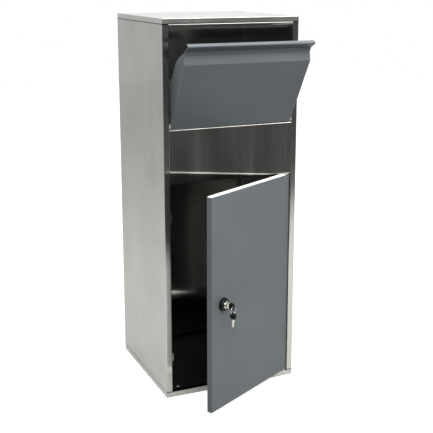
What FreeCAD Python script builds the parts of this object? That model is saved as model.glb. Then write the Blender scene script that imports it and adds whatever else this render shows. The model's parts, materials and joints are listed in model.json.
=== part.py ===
"""Free-standing parcel drop box: a sheet steel cabinet with a tilting drop flap and a lockable door.

Lengths are in millimetres and angles in degrees. The origin is the centre of the base on the floor,
+X is the door's hinge side, +Y is the back and +Z is up. Every moving piece is drawn closed, in the
cabinet's own frame, and is then swung about its axis to the open position in which the box is kept.
"""
import FreeCAD, Part
import Sketcher
import math
import os

DOCUMENT = FreeCAD.newDocument("ParcelDropBox")

# name, value, what it is
DIMENSIONS = (
    ("width", 385.0, "cabinet, side to side"),
    ("depth", 365.0, "cabinet, front to back"),
    ("height", 1020.0, "floor to the top of the lid"),
    ("sheet_gauge", 1.2, "stainless sheet of the cabinet"),
    ("bend_inside", 0.8, "inside radius of a folded edge"),
    ("lip_width", 12.0, "flange folded inwards round the base, the lid and the panels"),
    ("lid_depth", 14.0, "height of the lid's skirt"),
    ("base_depth", 16.0, "height of the base tray's skirt"),
    ("jamb_face", 17.0, "front fold of a side panel, beside the openings"),
    ("jamb_return", 15.0, "fold behind the jamb, beside the door"),
    ("header_face", 7.0, "front rail above the flap"),
    ("header_return", 16.5, "header's lower flange, up to its stop lip"),
    ("header_lip", 8.0, "lip that stops the flap when it closes"),
    ("door_opening_top", 597.0, "height of the fascia's lower edge"),
    ("fascia_face", 141.5, "plate between the two openings"),
    ("fascia_flange", 20.0, "fascia's upper and lower folds"),
    ("back_flange", 15.0, "back panel's folds along the sides"),
    ("anchor_pitch_x", 280.0, "floor anchors, side to side"),
    ("anchor_pitch_y", 260.0, "floor anchors, front to back"),
    ("anchor_radius", 4.5, "floor anchor hole"),
    ("wall_pitch", 280.0, "wall fixing holes, side to side"),
    ("wall_height", 900.0, "wall fixing holes above the floor"),
    ("wall_radius", 4.25, "wall fixing hole"),
    ("mat_thickness", 5.0, "rubber mat on the base"),
    ("mat_gap", 1.0, "mat's play inside the base tray"),
    ("mat_access", 12.0, "radius of the mat's holes over the anchors"),
    ("screw_radius", 2.5, "shank of the lid and base screws"),
    ("screw_play", 0.2, "play round the shank of a screw or a rivet"),
    ("screw_end_inset", 42.0, "end screws of a row from the front and from the back"),
    ("screw_head_radius", 4.75, "head of the lid and base screws"),
    ("screw_head_height", 2.7, "head of the lid and base screws"),
    ("screw_nut_flats", 8.0, "nut of the lid and base screws, across its flats"),
    ("screw_nut_height", 4.0, "nut of the lid and base screws"),
    ("screw_tail", 1.0, "screw's end past its nut"),
    ("baffle_rear_height", 800.0, "baffle's upper edge at the back panel"),
    ("baffle_slope", 40.0, "baffle's fall towards the front"),
    ("baffle_length", 230.0, "baffle's sloping plate"),
    ("baffle_flange", 25.0, "baffle's upright flange on the back panel"),
    ("baffle_side_gap", 2.0, "baffle to each side panel"),
    ("rivet_pitch", 150.0, "baffle's rivets, one to the next"),
    ("rivet_radius", 2.0, "shank of the baffle's rivets"),
    ("rivet_head_radius", 4.0, "head of the baffle's rivets"),
    ("rivet_head_height", 1.2, "head of the baffle's rivets"),
    ("painted_gauge", 1.5, "sheet of the door and the flap"),
    ("door_thickness", 15.0, "door, front to back"),
    ("door_lip", 14.0, "flange folded inwards behind the door's edges"),
    ("door_hinge_gap", 3.0, "door to the jamb at the hinge side"),
    ("door_free_gap", 2.0, "door to the jamb at the lock side"),
    ("door_floor_gap", 2.4, "door to the base tray"),
    ("door_top_gap", 4.0, "door to the fascia"),
    ("door_axis_inset", 6.0, "door's pivot axis from its front face and from its hinge edge"),
    ("door_open", 28.6, "angle at which the door stands"),
    ("stiffener_width", 60.0, "channel inside the door"),
    ("stiffener_centre", 40.0, "channel's centre from the middle of the door, towards the hinge"),
    ("stiffener_foot", 12.0, "channel's feet on the door's skin"),
    ("door_edge_round", 1.2, "rounding of the door's front edges"),
    ("seal_height", 2.0, "foam seal on the door's upper edge"),
    ("seal_inset", 1.3, "foam seal from the edges of the door"),
    ("seal_pin_gap", 9.0, "foam seal from the door's pivot axis"),
    ("pivot_radius", 2.5, "pivot pins of the door and the flap"),
    ("pin_head_radius", 3.75, "inner heads of the pivot pins and the stop pins"),
    ("pivot_play", 0.05, "radial play of a pivot pin in its bush"),
    ("bush_radius", 4.2, "outside of a pivot bush"),
    ("bush_flange_radius", 6.0, "flange of a pivot bush"),
    ("bush_flange_height", 2.1, "flange of a pivot bush"),
    ("bush_tail", 1.5, "bush past the far side of its sheet"),
    ("pin_reach", 9.0, "door's pivot pin beyond the door's edge"),
    ("door_stop_height", 22.0, "door stop bracket, up and down"),
    ("door_stop_reach", 10.0, "door stop bracket past the jamb's return"),
    ("door_stop_gauge", 1.5, "sheet of the door stop brackets"),
    ("door_stop_leg", 22.0, "leg of a door stop bracket on the side panel"),
    ("door_stop_low", 110.0, "middle of the lower door stop above the floor"),
    ("door_stop_high", 500.0, "middle of the upper door stop above the floor"),
    ("rest_gap", 0.3, "a moving piece from the stop it rests on"),
    ("flap_side_gap", 2.5, "flap to each jamb"),
    ("flap_bottom_gap", 3.0, "flap to the fascia"),
    ("flap_top_gap", 1.6, "flap to the header"),
    ("flap_axis_inset", 6.0, "flap's pivot axis from its front face and from its lower edge"),
    ("flap_open", 31.0, "angle at which the flap rests on its stops"),
    ("pull_recess_length", 21.8, "finger pull: fold that leans inwards"),
    ("pull_recess_angle", 51.3, "its direction above the horizontal"),
    ("pull_band_length", 12.1, "finger pull: band behind the fingers"),
    ("pull_band_angle", 82.0, "its direction above the horizontal"),
    ("pull_hood_length", 29.6, "finger pull: underside of the nose"),
    ("pull_hood_angle", 122.3, "its direction above the horizontal"),
    ("pull_top_length", 14.5, "finger pull: top of the nose"),
    ("pull_top_angle", -6.0, "its direction above the horizontal"),
    ("flap_bend_inside", 1.5, "inside radius of the flap's folds"),
    ("wing_depth", 54.0, "flap's side wing, front to back"),
    ("wing_round", 88.0, "radius of the wing's rear corner"),
    ("wing_shoulder", 178.0, "height on the flap at which the wing's rear edge turns in"),
    ("wing_tip_height", 226.0, "top of the wing on the flap"),
    ("wing_tip_depth", 18.5, "wing's top, front to back"),
    ("wing_heel_height", 36.0, "lower end of the wing's rear edge on the flap"),
    ("wing_toe_depth", 16.0, "wing's lower edge, front to back"),
    ("stop_pin_height", 46.0, "flap's stop pin on the flap"),
    ("stop_pin_radius", 2.5, "flap's stop pin"),
    ("stop_pin_length", 12.0, "flap's stop pin, out of the wing"),
    ("stop_sleeve_radius", 5.0, "rubber sleeve on the stop pin"),
    ("stop_sleeve_length", 10.0, "rubber sleeve on the stop pin"),
    ("lock_inset", 46.0, "lock's axis from the door's free edge"),
    ("lock_height", 305.0, "lock's axis above the floor"),
    ("rosette_flats", 32.0, "lock rosette across its flats"),
    ("rosette_height", 10.4, "lock rosette in front of the door"),
    ("rosette_chamfer", 2.0, "lock rosette's front edge"),
    ("barrel_radius", 9.0, "lock barrel"),
    ("barrel_front", 11.4, "lock barrel's front end in front of the door"),
    ("barrel_rear", 15.9, "lock barrel's rear end behind the door's face"),
    ("barrel_play", 0.1, "barrel in the rosette, the door and the nut"),
    ("nut_flats", 23.0, "lock nut across its flats"),
    ("nut_height", 4.5, "lock nut"),
    ("plug_radius", 5.5, "lock plug inside its barrel"),
    ("plug_head_radius", 6.6, "lock plug's head"),
    ("plug_front", 17.5, "lock plug's face in front of the door"),
    ("plug_play", 0.05, "radial play of the plug in its barrel"),
    ("cam_gap", 0.4, "cam behind the barrel"),
    ("cam_gauge", 2.5, "cam's thickness"),
    ("cam_width", 16.0, "cam's round end, across"),
    ("cam_arm_width", 15.2, "cam's arm, across"),
    ("cam_reach", 58.0, "cam's tip from the plug's axis"),
    ("cam_screw_radius", 3.6, "head of the cam's screw"),
    ("cam_screw_height", 2.4, "head of the cam's screw"),
    ("key_gauge", 2.0, "key blade's thickness"),
    ("key_blade_width", 6.6, "key blade, across"),
    ("key_blade_length", 21.0, "key blade past its bow"),
    ("key_play", 0.25, "key blade in the plug's slot, on each side"),
    ("key_shoulder", 2.0, "key's bow from the face of the plug"),
    ("bow_size", 18.0, "key's bow, across and along"),
    ("bow_corner", 5.0, "cut corners of the bow"),
    ("bow_thickness", 4.4, "key's bow"),
    ("bow_tang", 8.0, "key blade inside its bow"),
    ("bow_hole_radius", 2.5, "hole for the ring"),
    ("bow_hole_inset", 4.5, "hole's centre from the bow's outer end"),
    ("ring_radius", 9.0, "key ring, to the middle of its wire"),
    ("ring_wire", 0.75, "radius of the key ring's wire"),
    ("ring_seat", 0.2, "key ring from the edge of the hole it hangs in"),
)

SIDES = (-1, 1)

# An edge counts as found within this distance of its expected middle, in millimetres
EDGE_TOLERANCE = 0.05

# The least volume that a cut has to remove, in cubic millimetres
LEAST_CUT = 0.001


class Size:
    """A number together with the expression that binds it to the table of dimensions."""

    def __init__(self, value, text):
        self.value = value
        self.text = text

    def __add__(self, other):
        other = as_size(other)
        return Size(self.value + other.value, f"({self.text} + {other.text})")

    def __sub__(self, other):
        other = as_size(other)
        return Size(self.value - other.value, f"({self.text} - {other.text})")

    def __mul__(self, other):
        other = as_size(other)
        return Size(self.value * other.value, f"{self.text} * {other.text}")

    def __truediv__(self, other):
        other = as_size(other)
        return Size(self.value / other.value, f"{self.text} / {other.text}")

    def __radd__(self, other):
        return as_size(other) + self

    def __rsub__(self, other):
        return as_size(other) - self

    def __rmul__(self, other):
        return as_size(other) * self

    def __neg__(self):
        return Size(-self.value, f"(0 - {self.text})")


def as_size(number):
    """A plain number as a Size, so that the two can be mixed."""
    if isinstance(number, Size):
        return number
    return Size(float(number), f"({float(number):.6f})")


def wave(name, function, angle):
    """The cosine or sine of an angle in degrees, exact at quarter turns."""
    angle = as_size(angle)
    exact = function(math.radians(angle.value))
    if angle.text == as_size(angle.value).text and abs(exact - round(exact)) < 1e-9:
        return as_size(round(exact))
    return Size(exact, f"{name}({angle.text})")


def cosine(angle):
    """The cosine of an angle in degrees."""
    return wave("cos", math.cos, angle)


def sine(angle):
    """The sine of an angle in degrees."""
    return wave("sin", math.sin, angle)


def larger(first, second):
    """The larger of two sizes."""
    return Size(max(first.value, second.value), f"max({first.text}; {second.text})")


def make_table():
    """Write the driving dimensions into the document's sheet and return them as Sizes by name."""
    table = DOCUMENT.addObject("Spreadsheet::Sheet", "Sizes")
    sizes = {}
    for row, (name, value, meaning) in enumerate(DIMENSIONS, start=1):
        table.set(f"A{row}", name)
        table.set(f"B{row}", str(value))
        table.set(f"C{row}", meaning)
        table.setAlias(f"B{row}", name)
        sizes[name] = Size(value, f"Sizes.{name}")
    DOCUMENT.recompute()
    return sizes


S = make_table()

# Places that several pieces share
HALF_WIDTH = S["width"] / 2
HALF_DEPTH = S["depth"] / 2
FRONT = -HALF_DEPTH
GAUGE = S["sheet_gauge"]
BODY_BOTTOM = S["base_depth"]
BODY_TOP = S["height"] - S["lid_depth"]
CLEAR_HALF = HALF_WIDTH - S["jamb_face"]
HEADER_BOTTOM = BODY_TOP - S["header_face"]
FASCIA_BOTTOM = S["door_opening_top"]
FASCIA_TOP = FASCIA_BOTTOM + S["fascia_face"]

DOOR_LEFT = S["door_free_gap"] - CLEAR_HALF
DOOR_RIGHT = CLEAR_HALF - S["door_hinge_gap"]
DOOR_BOTTOM = BODY_BOTTOM + S["door_floor_gap"]
DOOR_TOP = FASCIA_BOTTOM - S["door_top_gap"]
DOOR_BACK = FRONT + S["door_thickness"]
DOOR_AXIS_X = DOOR_RIGHT - S["door_axis_inset"]
DOOR_AXIS_Y = FRONT + S["door_axis_inset"]

FLAP_HALF = CLEAR_HALF - S["flap_side_gap"]
FLAP_BOTTOM = FASCIA_TOP + S["flap_bottom_gap"]
FLAP_TOP = HEADER_BOTTOM - S["flap_top_gap"]
FLAP_AXIS_Y = FRONT + S["flap_axis_inset"]
FLAP_AXIS_Z = FLAP_BOTTOM + S["flap_axis_inset"]

LOCK_X = DOOR_LEFT + S["lock_inset"]
LOCK_Z = S["lock_height"]
PLUG_FACE = S["plug_front"] - FRONT
PLUG_REAR = -FRONT - S["barrel_rear"]
CAM_FRONT = PLUG_REAR - S["cam_gap"]
CAM_REAR = CAM_FRONT - S["cam_gauge"]
BOW_BASE = PLUG_FACE + S["key_shoulder"]
BOW_END = BOW_BASE + S["bow_size"]
KEY_HOLE_Y = S["bow_hole_inset"] - BOW_END

BAFFLE_FACE = HALF_DEPTH - GAUGE

# Floor anchors, one near each corner of the base
ANCHORS = [
    (side * S["anchor_pitch_x"] / 2, end * S["anchor_pitch_y"] / 2)
    for side in SIDES
    for end in SIDES
]

# The lid's and the base's screws stand in the middle of the lips, three along each side
SCREW_X = HALF_WIDTH - S["lip_width"] / 2 - GAUGE
SCREW_REACH_Y = HALF_DEPTH - S["screw_end_inset"]
SCREWS = [
    (side * SCREW_X, part * SCREW_REACH_Y)
    for side in SIDES
    for part in (-1, 0, 1)
]

# The stop pin's sleeve meets the rear edge of the jamb's return when the flap is open
STOP_RISE = S["stop_pin_height"] - S["flap_axis_inset"]
STOP_TRAVEL = S["jamb_return"] + S["stop_sleeve_radius"] + S["rest_gap"] - S["flap_axis_inset"]
STOP_PIN = (
    FLAP_AXIS_Y + (STOP_TRAVEL + STOP_RISE * sine(S["flap_open"])) / cosine(S["flap_open"]),
    FLAP_AXIS_Z + STOP_RISE,
)

# The ring's wire has dropped by the sag where it leaves the hole in a bow
RING_SAG = S["bow_thickness"] * S["bow_thickness"] / 8 / S["ring_radius"]
RING_TOP_Z = LOCK_Z - S["bow_hole_radius"] + S["ring_wire"] + RING_SAG + S["ring_seat"]
RING_CENTRE_Z = RING_TOP_Z - S["ring_radius"]


# ---------------------------------------------------------------- drawing helpers

def new_body(label):
    """An empty body with the sub-part's own name."""
    body = DOCUMENT.addObject("PartDesign::Body", label)
    body.Label = label
    return body


def origin_plane(body, role):
    """One of the body's own origin planes, by its role."""
    for feature in body.Origin.OriginFeatures:
        if feature.Role == role:
            return feature
    raise ValueError(f"{body.Label} has no {role}")


def new_sketch(body, role, start):
    """A sketch on an origin plane, moved along the plane's normal by start."""
    count = len([item for item in body.Group if item.isDerivedFrom("Sketcher::SketchObject")])
    sketch = body.newObject("Sketcher::SketchObject", f"{body.Label}_sketch_{count + 1}")
    sketch.AttachmentSupport = [(origin_plane(body, role), "")]
    sketch.MapMode = "FlatFace"
    start = as_size(start)
    sketch.AttachmentOffset = FreeCAD.Placement(
        FreeCAD.Vector(0, 0, start.value), FreeCAD.Rotation()
    )
    sketch.setExpression("AttachmentOffset.Base.z", start.text)
    return sketch


def bind_distance(sketch, kind, geometry, vertex, distance):
    """Hold one coordinate of a vertex at a distance from the sketch's origin."""
    index = sketch.addConstraint(
        Sketcher.Constraint(kind, -1, 1, geometry, vertex, distance.value)
    )
    sketch.setExpression(f"Constraints[{index}]", distance.text)


def hold(sketch, geometry, vertex, point):
    """Hold a vertex at a point of the sketch."""
    bind_distance(sketch, "DistanceX", geometry, vertex, as_size(point[0]))
    bind_distance(sketch, "DistanceY", geometry, vertex, as_size(point[1]))


def vector(point):
    """A point of a sketch as plain numbers."""
    return FreeCAD.Vector(as_size(point[0]).value, as_size(point[1]).value, 0)


def add_polygon(sketch, corners):
    """A closed outline of straight lines through the corners."""
    first = sketch.GeometryCount
    count = len(corners)
    for index in range(count):
        following = corners[(index + 1) % count]
        sketch.addGeometry(Part.LineSegment(vector(corners[index]), vector(following)), False)
    for index in range(count):
        following = first + (index + 1) % count
        sketch.addConstraint(Sketcher.Constraint("Coincident", first + index, 2, following, 1))
        hold(sketch, first + index, 1, corners[index])


def rectangle(left, bottom, right, top):
    """The four corners of an upright rectangle."""
    return [(left, bottom), (right, bottom), (right, top), (left, top)]


def add_circle(sketch, centre, radius):
    """A circle held by its centre and its radius."""
    circle = Part.Circle(vector(centre), FreeCAD.Vector(0, 0, 1), radius.value)
    index = sketch.addGeometry(circle, False)
    hold(sketch, index, 3, centre)
    constraint = sketch.addConstraint(Sketcher.Constraint("Radius", index, radius.value))
    sketch.setExpression(f"Constraints[{constraint}]", radius.text)


def regular_corners(centre, flats, count):
    """The corners of a regular polygon with a given distance across its flats, flats upright."""
    reach = flats / 2 / math.cos(math.pi / count)
    angles = [180.0 / count + 360.0 * index / count for index in range(count)]
    return [
        (centre[0] + reach * math.cos(math.radians(angle)),
         centre[1] + reach * math.sin(math.radians(angle)))
        for angle in angles
    ]


def strip_points(start, runs, side, gauge, inside):
    """The two edges of a folded strip of sheet.

    runs holds a length and a direction for each flat. The strip's sheet lies to the left of its
    path when side is 1 and to the right when it is -1. Returns, for each flat, its start and end
    on the path and on the far face, and for each fold its two radii, path face first.
    """
    corner = [as_size(start[0]), as_size(start[1])]
    flats = []
    folds = []
    trim = as_size(0)
    for index, (length, direction) in enumerate(runs):
        along = (cosine(direction), sine(direction))
        across = (-side * along[1], side * along[0])
        begin = [corner[axis] + trim * along[axis] for axis in range(2)]
        corner = [corner[axis] + length * along[axis] for axis in range(2)]
        trim = as_size(0)
        if index + 1 < len(runs):
            turn = as_size(runs[index + 1][1]) - direction
            inwards = turn.value * side > 0
            radius = inside + gauge if inwards else as_size(inside)
            far_radius = as_size(inside) if inwards else inside + gauge
            sign = 1 if turn.value > 0 else -1
            half = sign * turn / 2
            trim = radius * sine(half) / cosine(half)
            folds.append((radius, far_radius, turn.value))
        end = [corner[axis] - trim * along[axis] for axis in range(2)]
        far_begin = [begin[axis] + gauge * across[axis] for axis in range(2)]
        far_end = [end[axis] + gauge * across[axis] for axis in range(2)]
        flats.append((begin, end, far_begin, far_end))
    return flats, folds


def add_fold(sketch, begin, end, radius, turn):
    """The arc of a fold, from begin to end, that turns by turn degrees."""
    chord = vector(end) - vector(begin)
    side = FreeCAD.Vector(-chord.y, chord.x, 0).normalize() * (1 if turn > 0 else -1)
    rise = math.sqrt(max(radius.value ** 2 - (chord.Length / 2) ** 2, 0.0))
    centre = vector(begin) + chord / 2 + side * rise
    lower, upper = (begin, end) if turn > 0 else (end, begin)
    first = vector(lower) - centre
    last = vector(upper) - centre
    circle = Part.Circle(centre, FreeCAD.Vector(0, 0, 1), radius.value)
    arc = Part.ArcOfCircle(circle, math.atan2(first.y, first.x), math.atan2(last.y, last.x))
    index = sketch.addGeometry(arc, False)
    constraint = sketch.addConstraint(Sketcher.Constraint("Radius", index, radius.value))
    sketch.setExpression(f"Constraints[{constraint}]", radius.text)
    return (index, 1, 2) if turn > 0 else (index, 2, 1)


def add_strip(sketch, start, runs, side, gauge, inside):
    """The closed section of a folded strip, see strip_points."""
    flats, folds = strip_points(start, runs, side, gauge, inside)

    def add_line(begin, end):
        index = sketch.addGeometry(Part.LineSegment(vector(begin), vector(end)), False)
        hold(sketch, index, 1, begin)
        hold(sketch, index, 2, end)
        return index

    def join(geometry, vertex, other, other_vertex):
        sketch.addConstraint(
            Sketcher.Constraint("Coincident", geometry, vertex, other, other_vertex)
        )

    near = [add_line(flat[0], flat[1]) for flat in flats]
    far = [add_line(flat[2], flat[3]) for flat in flats]
    for index, (radius, far_radius, turn) in enumerate(folds):
        for lines, low, high, fold_radius in ((near, 0, 1, radius), (far, 2, 3, far_radius)):
            ends = add_fold(sketch, flats[index][high], flats[index + 1][low], fold_radius, turn)
            join(ends[0], ends[1], lines[index], 2)
            join(ends[0], ends[2], lines[index + 1], 1)
    for flat, low, high, vertex in ((0, 0, 2, 1), (-1, 1, 3, 2)):
        cap = sketch.addGeometry(
            Part.LineSegment(vector(flats[flat][low]), vector(flats[flat][high])), False
        )
        join(cap, 1, near[flat], vertex)
        join(cap, 2, far[flat], vertex)


def pad(body, sketch, length):
    """Add material from a sketch along its plane's normal."""
    feature = body.newObject("PartDesign::Pad", f"{body.Label}_pad")
    feature.Profile = sketch
    feature.setExpression("Length", as_size(length).text)
    DOCUMENT.recompute()
    return feature


def pocket(body, sketch, length):
    """Cut material from a sketch along its plane's normal, and make sure that it did cut."""
    before = body.Shape.Volume
    feature = body.newObject("PartDesign::Pocket", f"{body.Label}_pocket")
    feature.Profile = sketch
    feature.Reversed = True
    feature.setExpression("Length", as_size(length).text)
    DOCUMENT.recompute()
    if body.Shape.Volume > before - LEAST_CUT:
        raise RuntimeError(f"{feature.Label} cuts nothing")
    return feature


def block(body, role, start, length, corners, cut=False):
    """Pad or cut a polygon drawn on an origin plane that is moved along its normal by start."""
    sketch = new_sketch(body, role, start)
    add_polygon(sketch, corners)
    return (pocket if cut else pad)(body, sketch, length)


def discs(body, role, start, length, centres, radius, cut=False):
    """Pad or cut circles drawn on an origin plane that is moved along its normal by start."""
    sketch = new_sketch(body, role, start)
    for centre in centres:
        add_circle(sketch, centre, radius)
    return (pocket if cut else pad)(body, sketch, length)


def folded_sheet(label, role, start, length, origin, runs, side, gauge=GAUGE, inside=None):
    """A body made of one strip of sheet, folded and then drawn out along the plane's normal."""
    body = new_body(label)
    sketch = new_sketch(body, role, start)
    add_strip(sketch, origin, runs, side, gauge, S["bend_inside"] if inside is None else inside)
    pad(body, sketch, length)
    return body


def edges_at(shape, points):
    """The names of the edges whose middles lie at the given points."""
    names = []
    for point in points:
        target = FreeCAD.Vector(*[as_size(value).value for value in point])
        distances = []
        for index, edge in enumerate(shape.Edges, start=1):
            middle = edge.valueAt((edge.FirstParameter + edge.LastParameter) / 2)
            distances.append(((middle - target).Length, f"Edge{index}"))
        nearest = min(distances)
        if nearest[0] > EDGE_TOLERANCE:
            raise RuntimeError(f"no edge at {target}: the nearest is {nearest[0]:.3f} mm away")
        names.append(nearest[1])
    return names


def fillet(body, radius, points):
    """Round the edges whose middles lie at the given points."""
    tip = body.Tip
    feature = body.newObject("PartDesign::Fillet", f"{body.Label}_fillet")
    feature.Base = (tip, edges_at(tip.Shape, points))
    feature.setExpression("Radius", radius.text)
    DOCUMENT.recompute()
    return feature


def mirrored(source, label):
    """A right-hand piece from its left-hand twin."""
    twin = DOCUMENT.addObject("Part::Mirroring", label)
    twin.Label = label
    twin.Source = source
    twin.Normal = FreeCAD.Vector(1, 0, 0)
    return twin


def group(label, members):
    """Identical pieces that share one name."""
    compound = DOCUMENT.addObject("Part::Compound", label)
    compound.Label = label
    compound.Links = members
    return compound


def swing(item, axis, centre, angle):
    """Turn a finished piece about a fixed line: axis is X or Z, centre is the line's other two."""
    angle = as_size(angle)
    low = (1 - cosine(angle)) * centre[0]
    high = (1 - cosine(angle)) * centre[1]
    offsets = (low + sine(angle) * centre[1], high - sine(angle) * centre[0])
    item.Placement = FreeCAD.Placement(
        FreeCAD.Vector(), FreeCAD.Rotation(FreeCAD.Vector(axis == "X", 0, axis == "Z"), angle.value)
    )
    item.setExpression("Placement.Rotation.Angle", angle.text)
    for name, offset in zip(("y", "z") if axis == "X" else ("x", "y"), offsets):
        item.setExpression(f"Placement.Base.{name}", offset.text)
    return item


def swing_door(*items):
    """Stand the door's pieces open."""
    for item in items:
        swing(item, "Z", (DOOR_AXIS_X, DOOR_AXIS_Y), S["door_open"])
    return list(items)


def swing_flap(*items):
    """Tilt the flap's pieces out to their stops."""
    for item in items:
        swing(item, "X", (FLAP_AXIS_Y, FLAP_AXIS_Z), S["flap_open"])
    return list(items)


# ---------------------------------------------------------------- cabinet

def tray(label, face, mouth, folded_edges):
    """A pan with a closed face and, round its mouth, a lip folded inwards.

    face and mouth are the heights of the pan's outer faces; the mouth may be above or below.
    """
    body = new_body(label)
    upwards = mouth.value > face.value
    low, high = (face, mouth) if upwards else (mouth, face)
    outline = rectangle(-HALF_WIDTH, -HALF_DEPTH, HALF_WIDTH, HALF_DEPTH)
    block(body, "XY_Plane", low, high - low, outline)
    inner_x = HALF_WIDTH - GAUGE
    inner_y = HALF_DEPTH - GAUGE
    inside = rectangle(-inner_x, -inner_y, inner_x, inner_y)
    block(body, "XY_Plane", low + GAUGE, high - low - 2 * GAUGE, inside, cut=True)
    lip_x = HALF_WIDTH - S["lip_width"]
    lip_y = HALF_DEPTH - S["lip_width"]
    opening = rectangle(-lip_x, -lip_y, lip_x, lip_y)
    lip = mouth - GAUGE if upwards else mouth
    block(body, "XY_Plane", lip, GAUGE, opening, cut=True)
    holes = S["screw_radius"] + S["screw_play"]
    discs(body, "XY_Plane", lip, GAUGE, SCREWS, holes, cut=True)
    middle = (low + high) / 2
    upright = [(sx * HALF_WIDTH, sy * HALF_DEPTH, middle) for sx in SIDES for sy in SIDES]
    level = [(0, sign * HALF_DEPTH, face) for sign in SIDES]
    level += [(sign * HALF_WIDTH, 0, face) for sign in SIDES]
    fillet(body, S["bend_inside"] + GAUGE / 2, upright + (level if folded_edges else []))
    return body


def make_base_tray():
    """The tray that the box stands on, with its floor anchors and a seat for the door's bush."""
    body = tray("base_tray", as_size(0), BODY_BOTTOM, folded_edges=False)
    discs(body, "XY_Plane", 0, GAUGE, ANCHORS, S["anchor_radius"], cut=True)
    hole = S["bush_radius"]
    discs(body, "XY_Plane", BODY_BOTTOM - GAUGE, GAUGE, [(DOOR_AXIS_X, DOOR_AXIS_Y)], hole, cut=True)
    return body


def make_floor_mat():
    """A rubber mat inside the base tray, cut away over the floor anchors."""
    body = new_body("floor_mat")
    half_x = HALF_WIDTH - GAUGE - S["mat_gap"]
    half_y = HALF_DEPTH - GAUGE - S["mat_gap"]
    block(body, "XY_Plane", GAUGE, S["mat_thickness"], rectangle(-half_x, -half_y, half_x, half_y))
    discs(body, "XY_Plane", GAUGE, S["mat_thickness"], ANCHORS, S["mat_access"], cut=True)
    return body


def make_side_panels():
    """The left panel with its jamb, the jamb's return and its flanges, and the right one."""
    body = folded_sheet(
        "left_side_panel", "XY_Plane", BODY_BOTTOM, BODY_TOP - BODY_BOTTOM,
        (-HALF_WIDTH, HALF_DEPTH),
        [(S["depth"], -90), (S["jamb_face"], 0), (S["jamb_return"], 90)], 1,
    )
    inner_x = GAUGE - HALF_WIDTH
    lip_x = S["lip_width"] - HALF_WIDTH
    flange = rectangle(inner_x, FRONT + S["jamb_return"], lip_x, HALF_DEPTH - GAUGE - S["back_flange"])
    holes = S["screw_radius"] + S["screw_play"]
    for level in (BODY_BOTTOM, BODY_TOP - GAUGE):
        block(body, "XY_Plane", level, GAUGE, flange)
        discs(body, "XY_Plane", level, GAUGE, SCREWS[:3], holes, cut=True)
    pivot = [(FLAP_AXIS_Y, FLAP_AXIS_Z)]
    discs(body, "YZ_Plane", -CLEAR_HALF - GAUGE, GAUGE, pivot, S["bush_radius"], cut=True)
    return body, mirrored(body, "right_side_panel")


def make_back_panel():
    """A plate between the side panels, folded forwards along both sides."""
    inner_x = HALF_WIDTH - GAUGE
    body = folded_sheet(
        "back_panel", "XY_Plane", BODY_BOTTOM, BODY_TOP - BODY_BOTTOM,
        (-inner_x, HALF_DEPTH - S["back_flange"]),
        [(S["back_flange"], 90), (2 * inner_x, 0), (S["back_flange"], -90)], -1,
    )
    holes = [(sign * S["wall_pitch"] / 2, S["wall_height"]) for sign in SIDES]
    discs(body, "XZ_Plane", -HALF_DEPTH, GAUGE, holes, S["wall_radius"], cut=True)
    return body


def make_header_rail():
    """A shallow channel with a stop lip for the flap at the rear of its lower flange."""
    return folded_sheet(
        "header_rail", "YZ_Plane", -CLEAR_HALF, 2 * CLEAR_HALF,
        (FRONT + S["fascia_flange"], BODY_TOP),
        [(S["fascia_flange"], 180), (S["header_face"], 270), (S["header_return"], 360),
         (S["header_lip"], 270)], 1,
    )


def make_fascia_panel():
    """The plate between the flap and the door, folded back along its top and its bottom."""
    body = folded_sheet(
        "fascia_panel", "YZ_Plane", -CLEAR_HALF, 2 * CLEAR_HALF,
        (FRONT + S["fascia_flange"], FASCIA_TOP),
        [(S["fascia_flange"], 180), (S["fascia_face"], 270), (S["fascia_flange"], 360)], 1,
    )
    pivot = [(DOOR_AXIS_X, DOOR_AXIS_Y)]
    discs(body, "XY_Plane", FASCIA_BOTTOM, GAUGE, pivot, S["bush_radius"], cut=True)
    return body


def make_lid_tray():
    """The lid, a tray turned over."""
    return tray("lid_tray", S["height"], BODY_TOP, folded_edges=True)


def screw(name, point, face, direction):
    """A screw and its nut through the flange and the lip that meet at face.

    The screw points up when direction is 1 and down when it is -1.
    """
    body = new_body(name)

    def stretch(start, end):
        """The lower height and the length of a stretch given from face along the screw."""
        low = face + start if direction > 0 else face - end
        return low, end - start

    head = stretch(-GAUGE - S["screw_head_height"], -GAUGE)
    shank = stretch(-GAUGE, GAUGE + S["screw_nut_height"] + S["screw_tail"])
    nut = stretch(GAUGE, GAUGE + S["screw_nut_height"])
    discs(body, "XY_Plane", *head, [point], S["screw_head_radius"])
    discs(body, "XY_Plane", *shank, [point], S["screw_radius"])
    block(body, "XY_Plane", *nut, regular_corners(point, S["screw_nut_flats"], 6))
    return body


def make_screws():
    """Screws that hold the lid on the body's top flanges and the body on the base tray."""
    lid = [screw(f"lid_screw_{index}", point, BODY_TOP, 1) for index, point in enumerate(SCREWS)]
    base = [screw(f"base_screw_{index}", point, BODY_BOTTOM, -1)
            for index, point in enumerate(SCREWS)]
    return group("lid_screws", lid), group("base_screws", base)


def make_baffle():
    """A sloping plate behind the drop opening that keeps hands away from the parcels."""
    half = HALF_WIDTH - 2 * GAUGE - S["baffle_side_gap"]
    plate = folded_sheet(
        "baffle_plate", "YZ_Plane", -half, 2 * half,
        (BAFFLE_FACE, S["baffle_rear_height"] + S["baffle_flange"]),
        [(S["baffle_flange"], -90), (S["baffle_length"], S["baffle_slope"] - 180)], -1,
    )
    level = S["baffle_rear_height"] + S["baffle_flange"] / 2
    spots = [(part * S["rivet_pitch"], level) for part in (-1, 0, 1)]
    hole = S["rivet_radius"] + S["screw_play"]
    discs(plate, "XZ_Plane", -BAFFLE_FACE, GAUGE, spots, hole, cut=True)
    return plate, spots


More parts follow.
